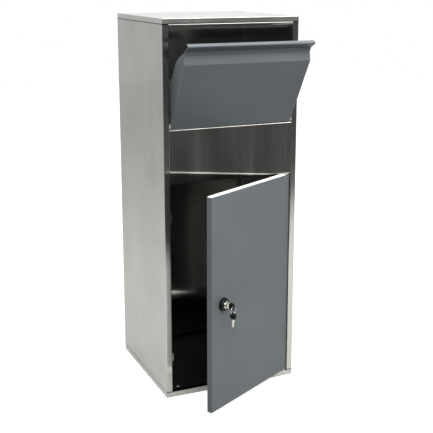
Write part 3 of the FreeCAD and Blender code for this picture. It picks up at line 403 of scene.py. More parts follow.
@dataclass(frozen=True)
class Plated(Finish):
    """Zinc or nickel plate on a turned piece: bright, with fine tool marks and dull spots."""

    light: str = "#dcdcda"
    dark: str = "#a9aaa8"
    # Tool marks are about 0.05 mm apart. They are drawn 0.4 mm apart, so that they show.
    mark_mm: float = 0.4
    mark_depth_mm: float = 0.015
    gloss: tuple[float, float] = (0.12, 0.3)

    def dress(self, tree: Tree, shader: Node, place: Socket) -> None:
        """Add tool marks and dull spots.

        Args:
            tree: the material's nodes.
            shader: the surface shader.
            place: the point on the piece, in metres.
        """
        marks = self.uneven(tree, place, (self.mark_mm, self.mark_mm, self.mark_mm * 6), 3.0)
        spots = self.uneven(tree, place, (self.mark_mm * 12,) * 3, 3.0)
        colour = self.two_tones(tree, spots, self.dark, self.light)
        rough = add_node(tree, MAP_RANGE, {}, (spots, 0.3, 0.7, *self.gloss)).outputs[0]
        shader.inputs["Metallic"].default_value = 1.0
        self.surface(tree, shader, colour, rough, (marks, self.mark_depth_mm, 0.4))


@dataclass(frozen=True)
class StudioPaper(Finish):
    """Matt pale paper roll under the box, lit through from below so that shadows stay soft."""

    base: str = "#c6c6c4"
    shade: str = "#c0c0be"
    cloud_mm: float = 400.0
    # The paper sends less light to matt surfaces and to steel than the camera sees.
    bounce: str = "#6d6d6b"
    glow: float = 0.8
    glow_in_steel: float = 0.34
    foot_m: tuple[float, float] = (0.19, 0.18)

    def dress(self, tree: Tree, shader: Node, place: Socket) -> None:
        """Add the paper's faint unevenness, and its glow around the foot of the box.

        Args:
            tree: the material's nodes.
            shader: the surface shader.
            place: the point on the piece, in metres.
        """
        tone = self.uneven(tree, place, (self.cloud_mm,) * 3, 2.0)
        colour = self.two_tones(tree, tone, self.shade, self.base)
        ray = add_node(tree, "ShaderNodeLightPath")
        matt = ray.outputs["Is Diffuse Ray"]
        tones = {0: matt, 6: colour, 7: linear(self.bounce)}
        tree.links.new(add_node(tree, MIX, COLOUR_MIX, tones).outputs[2], shader.inputs["Base Color"])
        shader.inputs["Roughness"].default_value = 0.8
        shader.inputs["Emission Color"].default_value = linear("#ffffff")
        levels = (ray.outputs["Is Camera Ray"], 0.0, 1.0, self.glow_in_steel, self.glow)
        seen = add_node(tree, MAP_RANGE, {}, levels).outputs[0]
        less = {"operation": "SUBTRACT"}
        beyond = add_node(tree, MATH, less, (1.0, self.foot(tree, place))).outputs[0]
        lit = add_node(tree, MATH, PRODUCT, (seen, beyond)).outputs[0]
        not_matt = add_node(tree, MATH, less, (1.0, matt)).outputs[0]
        glow = add_node(tree, MATH, PRODUCT, (lit, not_matt)).outputs[0]
        tree.links.new(glow, shader.inputs["Emission Strength"])

    def foot(self, tree: Tree, place: Socket) -> Socket:
        """Say whether a point is under the box, where no light comes through the paper.

        Args:
            tree: the material's nodes.
            place: the point on the paper, in metres.

        Returns:
            1 under the box, 0 beyond it.
        """
        parts = add_node(tree, SEPARATE, {}, (place,))
        inside = []
        for axis, half in zip("XY", self.foot_m):
            away = add_node(tree, MATH, {"operation": "ABSOLUTE"}, (parts.outputs[axis],)).outputs[0]
            inside.append(add_node(tree, MATH, {"operation": "LESS_THAN"}, (away, half)).outputs[0])
        return add_node(tree, MATH, PRODUCT, inside).outputs[0]


def title(finish: Finish) -> str:
    """Name a finish in a report."""
    return f"{finish.name} ({type(finish).__name__})"


STEEL = "brushed_stainless"
BODY_SEAMS = (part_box("lid_tray")[0].z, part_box("base_tray")[1].z)
FRONT_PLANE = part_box("fascia_panel")[0].y
# Side panels: upright lines, a soft sheen that spreads sideways, painted shade along the joints to lid and base.
STEEL_UPRIGHT = BrushedStainless(
    "Stainless_brushed_upright", STEEL, Grain.ALONG_Z, joint_shade_heights_m=BODY_SEAMS, bright_front_m=FRONT_PLANE
)
# Back panel and header rail: shallower lines, so a clearer mirror.
STEEL_FINE = BrushedStainless(
    "Stainless_fine_brushed", STEEL, Grain.ALONG_Z, gloss=(0.08, 0.12), relief_strength=0.03,
    stretch=1.0,
)
# Sheet between flap and door: the same mirror with broad upright clouds of tone.
STEEL_CLOUDY = BrushedStainless(
    "Stainless_fine_brushed_front", STEEL, Grain.ALONG_Z, "#bfbdb7", "#96948f", line_mm=34.0,
    streak_mm=70.0, gloss=(0.08, 0.12), relief_strength=0.03, stretch=1.0,
)
# Baffle and door stops: lines that run sideways.
STEEL_ACROSS = BrushedStainless("Stainless_brushed_across", STEEL, Grain.ALONG_X)
# Lid and base trays: a duller, more even sheen, with painted shade along the joints.
STEEL_LEVEL = BrushedStainless(
    "Stainless_brushed_trays", STEEL, Grain.ALONG_X, joint_shade_heights_m=BODY_SEAMS, gloss=(0.2, 0.27),
    stretch=0.5,
)
# Flap and door: satin grey with a hint of blue, paler along worn edges.
PAINT = PowderCoat("Powder_coat_anthracite", "anthracite_paint")
# Mat and sleeves: dead black, hardly any sheen.
RUBBER = Moulded("Rubber_matt", "black_rubber", "#121212", "#0a0a0a", 0.8, 0.06, (0.6, 0.8))
# Rosette and key bows: deep black with a soft edge light.
PLASTIC = Moulded("Nylon_black_moulded", "black_plastic")
# Bushes: milky white, waxy.
NYLON = Moulded("Nylon_white_moulded", "white_nylon", "#dcdad2", "#cfcdc4", 0.5, 0.02, (0.4, 0.5))
# Door seal: bright white and quite matt.
FOAM = Moulded("Foam_white_closed_cell", "white_foam", "#f6f6f3", "#ecece8", 1.2, 0.1, (0.7, 0.85))
# Screws, rivets, pins and the latch arm: bluish grey metal with dull spots.
ZINC = Plated("Zinc_plated_steel", "zinc_plate", "#c9ccce", "#9ea1a2")
# Lock, keys and ring: warm, nearly clear mirror.
NICKEL = Plated("Nickel_plated_brass", "nickel_plate", "#e6e4df", "#bdbab3", gloss=(0.08, 0.22))


# ---------------------------------------------------------------- making pieces

@dataclass(frozen=True)
class Axes:
    """A place on a piece: an origin, the way out of the surface, the way across and the way up."""

    origin: Vector
    out: Vector
    across: Vector
    up: Vector

    def at(self, out: float, across: float = 0.0, up: float = 0.0) -> Vector:
        """Return the point at the given distances in metres."""
        return self.origin + self.out * out + self.across * across + self.up * up

    def moved(self, out: float = 0.0, across: float = 0.0, up: float = 0.0) -> "Axes":
        """Return the same axes at another origin."""
        return Axes(self.at(out, across, up), self.out, self.across, self.up)


def reach(node: str, direction: Vector) -> tuple[float, float]:
    """Measure a CAD node along a direction.

    Args:
        node: the node's name.
        direction: a unit vector.

    Returns:
        The lowest and highest distance from the frame's origin.
    """
    distances = [vertex.co.dot(direction) for vertex in frame["nodes"][node].data.vertices]
    return min(distances), max(distances)


def joint_named(name: str) -> dict:
    """Find a joint of the record."""
    return next(joint for joint in frame["joints"] if joint["name"] == name)


def add_loft(
    shape: Shape, rings: Sequence[Sequence[Vector]], cap: bool = True, loop: bool = False
) -> None:
    """Join rings of points with faces.

    Args:
        shape: the mesh that takes the faces.
        rings: closed rings with the same number of points.
        cap: close the first and the last ring with a face.
        loop: join the last ring to the first.
    """
    made = [[shape.verts.new(point) for point in ring] for ring in rings]
    pairs = list(zip(made, made[1:]))
    if loop:
        pairs.append((made[-1], made[0]))
    for low, high in pairs:
        for index in range(len(low)):
            following = (index + 1) % len(low)
            shape.faces.new((low[index], low[following], high[following], high[index]))
    if cap and not loop:
        shape.faces.new(made[0][::-1])
        shape.faces.new(made[-1])


def circle_ring(axes: Axes, out: float, radius: float, count: int) -> list[Vector]:
    """A ring of points about an axis."""
    return polar_ring(axes, out, lambda angle: radius, count)


def polar_ring(
    axes: Axes, out: float, radius_at: Callable[[float], float], count: int
) -> list[Vector]:
    """A ring of points whose radius depends on the angle.

    Args:
        axes: the ring's centre and plane.
        out: the ring's distance out of the surface.
        radius_at: gives the radius for an angle in radians.
        count: the number of points.

    Returns:
        The points.
    """
    points = []
    for index in range(count):
        angle = 2 * math.pi * index / count
        radius = radius_at(angle)
        points.append(axes.at(out, radius * math.cos(angle), radius * math.sin(angle)))
    return points


def polygon_radius(
    apothem: float, sides: int, rounding: float, turn: float = 0.0
) -> Callable[[float], float]:
    """The radius of a regular polygon whose corners are rounded.

    Args:
        apothem: from the centre to a flat.
        sides: the number of flats.
        rounding: how much of the corner's reach is taken off, from 0 to 1.
        turn: the angle of the first flat's middle.

    Returns:
        A function of the angle.
    """
    step = 2 * math.pi / sides
    corner = apothem / math.cos(step / 2)

    def radius_at(angle: float) -> float:
        """Return the radius at an angle, with the corner blended into its cut."""
        offset = (angle - turn + step / 2) % step - step / 2
        sharp = apothem / math.cos(offset)
        limit = corner - (corner - apothem) * rounding
        blend = 0.12 * apothem * rounding + 1e-9
        low = max(0.0, min(1.0, 0.5 + 0.5 * (limit - sharp) / blend))
        return sharp * low + limit * (1 - low) - blend * low * (1 - low)

    return radius_at


def box_radius(half_across: float, half_up: float) -> Callable[[float], float]:
    """The radius of a rectangle about its centre.

    Args:
        half_across: half the width.
        half_up: half the height.

    Returns:
        A function of the angle.
    """
    def radius_at(angle: float) -> float:
        """Return the distance to the nearer side at an angle."""
        limits = []
        if abs(math.cos(angle)) > 1e-9:
            limits.append(half_across / abs(math.cos(angle)))
        if abs(math.sin(angle)) > 1e-9:
            limits.append(half_up / abs(math.sin(angle)))
        return min(limits)

    return radius_at


def add_lathe(
    shape: Shape, axes: Axes, profile: Iterable[tuple[float, float]], count: int,
    cap: bool = True, loop: bool = False,
) -> None:
    """Turn a profile about an axis.

    Args:
        shape: the mesh that takes the faces.
        axes: the axis.
        profile: pairs of distance out and radius, in millimetres.
        count: the number of points in each ring.
        cap: close both ends.
        loop: join the profile's end to its start.
    """
    rings = [circle_ring(axes, out * MM, radius * MM, count) for out, radius in profile]
    add_loft(shape, rings, cap, loop)


def mesh_from(shape: Shape, name: str, sharp_deg: float = 32.0) -> Mesh:
    """Turn a bmesh to a finished mesh with outward normals and sharp folds.

    Args:
        shape: the bmesh, which is freed.
        name: the mesh's name.
        sharp_deg: folds above this angle stay sharp.

    Returns:
        The mesh.
    """
    bmesh.ops.remove_doubles(shape, verts=shape.verts, dist=1e-7)
    bmesh.ops.recalc_face_normals(shape, faces=shape.faces)
    for face in shape.faces:
        face.smooth = True
    limit = math.radians(sharp_deg)
    for edge in shape.edges:
        edge.smooth = len(edge.link_faces) == 2 and edge.calc_face_angle() < limit
    mesh = bpy.data.meshes.new(name)
    shape.to_mesh(mesh)
    shape.free()
    return mesh


def add_piece(
    mesh: Mesh, name: str, body: Body, finish: Finish, stands_for: Sequence[str] = ()
) -> bpy.types.Object:
    """Put a finished mesh on a body.

    Args:
        mesh: the mesh, in the frame's metres.
        name: the piece's name.
        body: the body that it moves with.
        finish: its finish.
        stands_for: the CAD nodes that it replaces.

    Returns:
        The new object.
    """
    piece = bpy.data.objects.new(name, mesh)
    bpy.context.scene.collection.objects.link(piece)
    mesh.materials.clear()
    mesh.materials.append(finish.material())
    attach(piece, body.value)
    if stands_for:
        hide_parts(*stands_for)
    LOG.info("%s on %s: %d faces, %s", name, body.value, len(mesh.polygons), title(finish))
    return piece


def dress_node(name: str, finish: Finish) -> None:
    """Give a CAD node its finish.

    Args:
        name: the node's name.
        finish: its finish.
    """
    materials = frame["nodes"][name].data.materials
    materials.clear()
    materials.append(finish.material())
    LOG.info("%s keeps its CAD shape: %s", name, title(finish))


def grow(name: str, group: Tree, start: Mesh, values: dict[str, Setting]) -> Mesh:
    """Run a Geometry Nodes tree on a mesh and keep the result as a plain mesh.

    Args:
        name: the new mesh's name.
        group: the tree.
        start: the mesh that goes in.
        values: the tree's inputs by name.

    Returns:
        The mesh that comes out.
    """
    host = bpy.data.objects.new(f"{name}_host", start)
    bpy.context.scene.collection.objects.link(host)
    modifier = host.modifiers.new("grow", "NODES")
    modifier.node_group = group
    for item in group.interface.items_tree:
        if item.in_out == "INPUT" and item.name in values:
            modifier[item.identifier] = values[item.name]
    graph = bpy.context.evaluated_depsgraph_get()
    mesh = bpy.data.meshes.new_from_object(host.evaluated_get(graph), depsgraph=graph)
    mesh.name = name
    bpy.data.objects.remove(host)
    return mesh


def new_tree(name: str, inputs: Sequence[tuple[str, str]]) -> tuple[Tree, Node]:
    """Start a Geometry Nodes tree.

    Args:
        name: the tree's name.
        inputs: a name and a socket kind for each input after the geometry.

    Returns:
        The tree and its input node.
    """
    group = bpy.data.node_groups.new(name, "GeometryNodeTree")
    face = group.interface
    face.new_socket(name="Geometry", in_out="INPUT", socket_type="NodeSocketGeometry")
    for label, kind in inputs:
        face.new_socket(name=label, in_out="INPUT", socket_type=kind)
    face.new_socket(name="Geometry", in_out="OUTPUT", socket_type="NodeSocketGeometry")
    return group, add_node(group, "NodeGroupInput")


def end_tree(group: Tree, geometry: Socket, material: Socket) -> None:
    """End a tree in real geometry with one material.

    Args:
        group: the tree.
        geometry: what the tree has made.
        material: the input that gives its material.
    """
    real = add_node(group, "GeometryNodeRealizeInstances", {}, {0: geometry})
    dressed = add_node(
        group, "GeometryNodeSetMaterial", {}, {"Geometry": real.outputs[0], "Material": material}
    )
    add_node(group, "NodeGroupOutput", {}, {0: dressed.outputs[0]})


def repeat_tree() -> Tree:
    """A tree that sets one shape on every point of a mesh.

    Returns:
        The tree.
    """
    group, inside = new_tree(
        "Repeat_on_points",
        (("Shape", "NodeSocketObject"), ("Finish", "NodeSocketMaterial"), ("Scale", "NodeSocketFloat")),
    )
    shape = add_node(
        group,
        "GeometryNodeObjectInfo",
        {"transform_space": "ORIGINAL"},
        {"Object": inside.outputs["Shape"], "As Instance": True},
    )
    points = add_node(
        group,
        "GeometryNodeInstanceOnPoints",
        {},
        {
            "Points": inside.outputs["Geometry"],
            "Instance": shape.outputs["Geometry"],
            "Scale": inside.outputs["Scale"],
        },
    )
    end_tree(group, points.outputs[0], inside.outputs["Finish"])
    return group


def rib_tree() -> Tree:
    """A tree that draws a flat-topped rib along every edge of a mesh.

    Returns:
        The tree.
    """
    group, inside = new_tree(
        "Ribs_along_edges",
        (("Finish", "NodeSocketMaterial"), ("Width", "NodeSocketFloat"), ("Height", "NodeSocketFloat")),
    )
    path = add_node(group, "GeometryNodeMeshToCurve", {}, {0: inside.outputs["Geometry"]})
    section = add_node(
        group,
        "GeometryNodeCurvePrimitiveQuadrilateral",
        {"mode": "TRAPEZOID"},
        {
            "Height": inside.outputs["Height"],
            "Bottom Width": inside.outputs["Width"],
            "Top Width": add_node(group, MATH, PRODUCT, (inside.outputs["Width"], 0.6)).outputs[0],
            "Offset": 0.0,
        },
    )
    ribs = add_node(
        group,
        "GeometryNodeCurveToMesh",
        {},
        {"Curve": path.outputs[0], "Profile Curve": section.outputs[0], "Fill Caps": True},
    )
    end_tree(group, ribs.outputs[0], inside.outputs["Finish"])
    return group


def wire_tree() -> Tree:
    """A tree that winds round wire along a mesh's edges.

    Returns:
        The tree.
    """
    group, inside = new_tree(
        "Wire_along_edges", (("Finish", "NodeSocketMaterial"), ("Radius", "NodeSocketFloat"))
    )
    path = add_node(group, "GeometryNodeMeshToCurve", {}, {0: inside.outputs["Geometry"]})
    section = add_node(
        group,
        "GeometryNodeCurvePrimitiveCircle",
        {},
        {"Resolution": 12, "Radius": inside.outputs["Radius"]},
    )
    wire = add_node(
        group,
        "GeometryNodeCurveToMesh",
        {},
        {"Curve": path.outputs[0], "Profile Curve": section.outputs[0], "Fill Caps": True},
    )
    smooth = add_node(group, "GeometryNodeSetShadeSmooth", {}, {0: wire.outputs[0]})
    end_tree(group, smooth.outputs[0], inside.outputs["Finish"])
    return group


def mesh_of_paths(name: str, paths: Iterable[Sequence[Vector]]) -> Mesh:
    """A mesh of plain edges along paths.

    Args:
        name: the mesh's name.
        paths: the points of each path, in order.

    Returns:
        The mesh.
    """
    points: list[Vector] = []
    edges: list[tuple[int, int]] = []
    for path in paths:
        first = len(points)
        points.extend(path)
        edges.extend((index, index + 1) for index in range(first, len(points) - 1))
    mesh = bpy.data.meshes.new(name)
    mesh.from_pydata(points, edges, [])
    return mesh


# ---------------------------------------------------------------- the box

@dataclass
class Cabinet:
    """The steel body: folded sheets, mat, screws, rivets, bushes and door stops."""

    rib_pitch_mm: float = 8.0
    rib_width_mm: float = 3.4
    rib_height_mm: float = 0.9
    rib_margin_mm: float = 6.0
    hole_clear_mm: float = 14.5
    screw_head_mm: float = 4.75
    screw_head_height_mm: float = 2.7
    screw_nut_mm: float = 4.0
    screw_grip_mm: float = 2.4
    # The dome's section, as shares of the head's radius and of its height.
    screw_dome: tuple[tuple[float, float], ...] = (
        (1.0, 0.12), (0.99, 0.35), (0.9, 0.68), (0.72, 0.9), (0.5, 1.0),
    )
    screw_socket_mm: float = 1.5
    screw_shank_mm: float = 2.5
    rivet_head_mm: float = 4.0
    rivet_height_mm: float = 1.2
    sheets: dict[str, Finish] = field(
        default_factory=lambda: {
            "base_tray": STEEL_LEVEL,
            "lid_tray": STEEL_LEVEL,
            "left_side_panel": STEEL_UPRIGHT,
            "right_side_panel": STEEL_UPRIGHT,
            "back_panel": STEEL_FINE,
            "header_rail": STEEL_FINE,
            "fascia_panel": STEEL_CLOUDY,
            "baffle_plate": STEEL_ACROSS,
            "door_stop_lower": STEEL_ACROSS,
            "door_stop_upper": STEEL_ACROSS,
            "floor_mat": RUBBER,
            "flap_bush_left": NYLON,
            "flap_bush_right": NYLON,
            "door_bush_lower": NYLON,
            "door_bush_upper": NYLON,
        }
    )

    def build(self) -> None:
        """Dress the sheets, then add what is repeated."""
        for node, finish in self.sheets.items():
            dress_node(node, finish)
        self.add_mat_ribs()
        self.add_screws("lid_screws", 1)
        self.add_screws("base_screws", -1)
        self.add_rivets()

    def add_mat_ribs(self) -> None:
        """Rib the rubber mat from front to back, and leave its holes free."""
        low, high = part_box("floor_mat")
        margin = self.rib_margin_mm * MM
        holes = self.anchor_holes()
        clear = self.hole_clear_mm * MM
        rise = high.z + self.rib_height_mm * MM / 2
        count = int((high.x - low.x - 2 * margin) / (self.rib_pitch_mm * MM))
        first = (low.x + high.x - count * self.rib_pitch_mm * MM) / 2
        paths = []
        for index in range(count + 1):
            across = first + index * self.rib_pitch_mm * MM
            start = low.y + margin
            for hole in sorted(holes, key=lambda point: point.y):
                if abs(hole.x - across) < clear:
                    half = math.sqrt(clear ** 2 - (hole.x - across) ** 2)
                    paths.append([Vector((across, start, rise)), Vector((across, hole.y - half, rise))])
                    start = hole.y + half
            paths.append([Vector((across, start, rise)), Vector((across, high.y - margin, rise))])
        mesh = grow(
            "floor_mat_ribs",
            rib_tree(),
            mesh_of_paths("rib_paths", paths),
            {
                "Finish": RUBBER.material(),
                "Width": self.rib_width_mm * MM,
                "Height": self.rib_height_mm * MM,
            },
        )
        add_piece(mesh, "floor_mat_ribs", Body.CABINET, RUBBER)

    @staticmethod
    def anchor_holes() -> list[Vector]:
        """Find the middles of the floor anchors.

        Returns:
            Four points on the floor, in metres.
        """
        mount = next(one for one in frame["record"]["mounts"] if one["name"] == "floor_anchors")
        half_x = mount["dims"]["spacing_x_mm"] / 2 * MM
        half_y = mount["dims"]["spacing_y_mm"] / 2 * MM
        return [Vector((x, y, 0)) for x in (-half_x, half_x) for y in (-half_y, half_y)]

    def screw_shape(self, direction: int) -> Mesh:
        """A button-head screw with a hexagon socket, and its nut.

        Args:
            direction: 1 where the nut is above the head, -1 where it is below.

        Returns:
            The mesh, with the face of the head's flange at its origin.
        """
        axes = Axes(Vector(), Vector((0, 0, -direction)), Vector((1, 0, 0)), Vector((0, direction, 0)))
        head = self.screw_head_mm
        height = self.screw_head_height_mm
        socket = polygon_radius(self.screw_socket_mm * MM, 6, 0.0)
        count = 24
        rings = [circle_ring(axes, 0.0, head * MM * 0.94, count)]
        for share, rise in self.screw_dome:
            rings.append(circle_ring(axes, height * rise * MM, head * share * MM, count))
        rings.append(polar_ring(axes, height * MM, lambda angle: socket(angle) * 1.12, count))
        rings.append(polar_ring(axes, height * 0.93 * MM, socket, count))
        rings.append(polar_ring(axes, height * 0.3 * MM, socket, count))
        shape = bmesh.new()
        add_loft(shape, rings)
        grip = -self.screw_grip_mm
        nut = self.screw_nut_mm
        hexagon = polygon_radius(self.screw_head_mm * 0.84 * MM, 6, 0.25)
        nut_rings = [circle_ring(axes, grip * MM, 3.9 * MM, count)]
        nut_rings.append(polar_ring(axes, (grip - 0.3) * MM, hexagon, count))
        nut_rings.append(polar_ring(axes, (grip - nut + 0.3) * MM, hexagon, count))
        nut_rings.append(circle_ring(axes, (grip - nut) * MM, 3.6 * MM, count))
        add_loft(shape, nut_rings)
        shank = self.screw_shank_mm
        tail = ((0.0, shank), (grip - nut - 0.6, shank), (grip - nut - 1.0, shank - 0.4))
        add_lathe(shape, axes, tail, 16)
        return mesh_from(shape, "screw_shape")

    def add_screws(self, node: str, direction: int) -> None:
        """Put three screws along each side.

        Args:
            node: the CAD node that they stand for.
            direction: 1 where the nuts are above, -1 where they are below.
        """
        low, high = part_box(node)
        head = self.screw_head_mm * MM
        seat = self.screw_head_height_mm * MM
        level = low.z + seat if direction > 0 else high.z - seat
        points = [
            Vector((x, y, level))
            for x in (low.x + head, high.x - head)
            for y in (low.y + head, (low.y + high.y) / 2, high.y - head)
        ]
        self.repeat(node, points, self.screw_shape(direction), ZINC)

    def add_rivets(self) -> None:
        """Fix the baffle with domed blind rivets."""
        low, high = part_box("baffle_rivets")
        radius = self.rivet_head_mm
        axes = Axes(Vector(), Vector((0, -1, 0)), Vector((1, 0, 0)), Vector((0, 0, 1)))
        shape = bmesh.new()
        rise = self.rivet_height_mm
        profile = (
            (-1.2, 2.0), (0.0, 2.0), (0.0, radius), (rise * 0.35, radius), (rise * 0.75, radius * 0.8),
            (rise, radius * 0.5), (rise, 1.3), (rise * 0.6, 1.1), (rise * 0.6, 0.6), (rise * 0.75, 0.4),
        )
        add_lathe(shape, axes, profile, 20)
        seat = low.y + rise * MM
        head = radius * MM
        middle = (low.z + high.z) / 2
        points = [Vector((x, seat, middle)) for x in (low.x + head, (low.x + high.x) / 2, high.x - head)]
        self.repeat("baffle_rivets", points, mesh_from(shape, "rivet_shape"), ZINC)

    @staticmethod
    def repeat(node: str, points: Sequence[Vector], shape: Mesh, finish: Finish) -> None:
        """Set a shape on each point and let it stand for a CAD node.

        Args:
            node: the CAD node.
            points: where the shape goes.
            shape: the shape about its own origin.
            finish: its finish.
        """
        model = bpy.data.objects.new("shape_model", shape)
        places = bpy.data.meshes.new("places")
        places.from_pydata([tuple(point) for point in points], [], [])
        mesh = grow(
            f"{node}_mesh",
            repeat_tree(),
            places,
            {"Shape": model, "Finish": finish.material(), "Scale": 1.0},
        )
        bpy.data.objects.remove(model)
        add_piece(mesh, f"{node}_detailed", Body.CABINET, finish, (node,))


@dataclass
class Flap:
    """The tilting drop flap: painted panel and wings, pins and rubber sleeves."""

    sleeve_mm: float = 5.0
    sleeve_length_mm: float = 10.0
    pin_mm: float = 2.5

    def build(self) -> None:
        """Dress the flap's sheets and pins, and turn its sleeves."""
        for node in ("flap_panel", "flap_wing_left", "flap_wing_right"):
            dress_node(node, PAINT)
        for node in ("flap_pivot_pins", "flap_stop_pins"):
            dress_node(node, ZINC)
        self.add_sleeves()

    def add_sleeves(self) -> None:
        """Make the grooved rubber sleeves of the stop pins."""
        low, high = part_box("flap_stop_sleeves")
        middle_y = (low.y + high.y) / 2
        middle_z = (low.z + high.z) / 2
        outer = self.sleeve_mm
        length = self.sleeve_length_mm
        bore = self.pin_mm
        profile = (
            (0.0, bore), (0.0, outer - 0.8), (0.25, outer - 0.25), (0.8, outer), (3.0, outer),
            (3.3, outer - 0.5), (3.9, outer - 0.5), (4.2, outer), (5.8, outer), (6.1, outer - 0.5),
            (6.7, outer - 0.5), (7.0, outer), (length - 0.8, outer), (length - 0.25, outer - 0.25),
            (length, outer - 0.8), (length, bore),
        )
        shape = bmesh.new()
        for side, start in ((1, low.x), (-1, high.x)):
            axes = Axes(
                Vector((start, middle_y, middle_z)), Vector((side, 0, 0)), Vector((0, side, 0)),
                Vector((0, 0, 1)),
            )
            add_lathe(shape, axes, profile, 24, cap=False, loop=True)
        mesh = mesh_from(shape, "flap_stop_sleeves_mesh")
        add_piece(mesh, "flap_stop_sleeves_grooved", Body.FLAP, RUBBER, ("flap_stop_sleeves",))


def lock_axes() -> Axes:
    """Find the lock's axis where it meets the face of the door.

    Returns:
        Axes that point out of the door, across it and up.
    """
    turn = joint_named("lock_turn")
    out = -Vector(turn["axis"]).normalized()
    up = Vector((0, 0, 1))
    across = up.cross(out)
    point = Vector(turn["pos_m"])
    face = reach("door_skin", out)[1]
    return Axes(point + out * (face - point.dot(out)), out, across, up)


@dataclass
class Door:
    """The hinged door: painted pan, stiffener, seal, pivot pins and the lock's housing."""

    rosette_flats_mm: float = 32.0
    rosette_height_mm: float = 10.4
    bore_mm: float = 9.1
    points: int = 96

    def build(self) -> None:
        """Dress the door's sheets and fittings, and mould the rosette."""
        for node in ("door_skin", "door_stiffener"):
            dress_node(node, PAINT)
        for node in ("door_pin_upper", "door_pin_lower", "lock_nut"):
            dress_node(node, ZINC)
        dress_node("lock_barrel", NICKEL)
        dress_node("door_seal", FOAM)
        self.add_rosette()

    def add_rosette(self) -> None:
        """Mould the eight-sided rosette round the lock, with a soft rim and a dished face."""
        axes = lock_axes()
        half = self.rosette_flats_mm / 2 * MM
        tall = self.rosette_height_mm
        steps = (
            (0.0, 1.0), (tall - 2.6, 1.0), (tall - 1.9, 0.985), (tall - 1.1, 0.945),
            (tall - 0.4, 0.885), (tall - 0.1, 0.84), (tall, 0.79),
        )
        outline = polygon_radius(half, 8, 0.12)
        rings = [
            polar_ring(axes, out * MM, lambda angle, share=share: outline(angle) * share, self.points)
            for out, share in steps
        ]
        bore = self.bore_mm
        for out, radius in (
            (tall - 0.1, bore + 2.3), (tall - 0.7, bore + 1.9), (tall - 0.75, bore + 0.7),
            (tall - 0.4, bore + 0.25), (tall - 0.4, bore), (0.0, bore),
        ):
            rings.append(circle_ring(axes, out * MM, radius * MM, self.points))
        shape = bmesh.new()
        add_loft(shape, rings, cap=False, loop=True)
        mesh = mesh_from(shape, "lock_rosette_mesh")
        add_piece(mesh, "lock_rosette_moulded", Body.DOOR, PLASTIC, ("lock_rosette",))


@dataclass
class LockCylinder:
    """The turning plug with its keyway, the latch arm and its screw."""

    shank_mm: float = 5.5
    head_mm: float = 6.6
    slot_half_across_mm: float = 1.25
    slot_half_up_mm: float = 3.55
    slot_depth_mm: float = 19.5
    points: int = 64

    def build(self) -> None:
        """Turn the plug and dress the arm."""
        dress_node("lock_cam", ZINC)
        dress_node("cam_screw", ZINC)
        self.add_plug()

    def add_plug(self) -> None:
        """Turn the plug, with a bevelled head and a slot that is open to the front."""
        axes = lock_axes()
        base = axes.origin.dot(axes.out)
        rear, front = (distance - base for distance in reach("lock_plug", axes.out))
        shoulder = reach("lock_barrel", axes.out)[1] - base + 0.3 * MM
        slot = box_radius(self.slot_half_across_mm * MM, self.slot_half_up_mm * MM)
        wide = box_radius((self.slot_half_across_mm + 0.5) * MM, (self.slot_half_up_mm + 0.5) * MM)
        depth = self.slot_depth_mm * MM
        rings = [
            polar_ring(axes, front - depth, slot, self.points),
            polar_ring(axes, front - 1.0 * MM, slot, self.points),
            polar_ring(axes, front - 0.5 * MM, wide, self.points),
        ]
        head = self.head_mm
        for out, radius in (
            (front - 0.5 * MM, head - 1.4), (front, head - 1.1), (front, head - 0.7),
            (front - 0.4 * MM, head), (shoulder + 0.3 * MM, head), (shoulder, head - 0.3),
            (shoulder, self.shank_mm), (rear, self.shank_mm),
        ):
            rings.append(circle_ring(axes, out, radius * MM, self.points))
        shape = bmesh.new()
        add_loft(shape, rings)
        mesh = mesh_from(shape, "lock_plug_mesh")
        add_piece(mesh, "lock_plug_turned", Body.LOCK, NICKEL, ("lock_plug",))


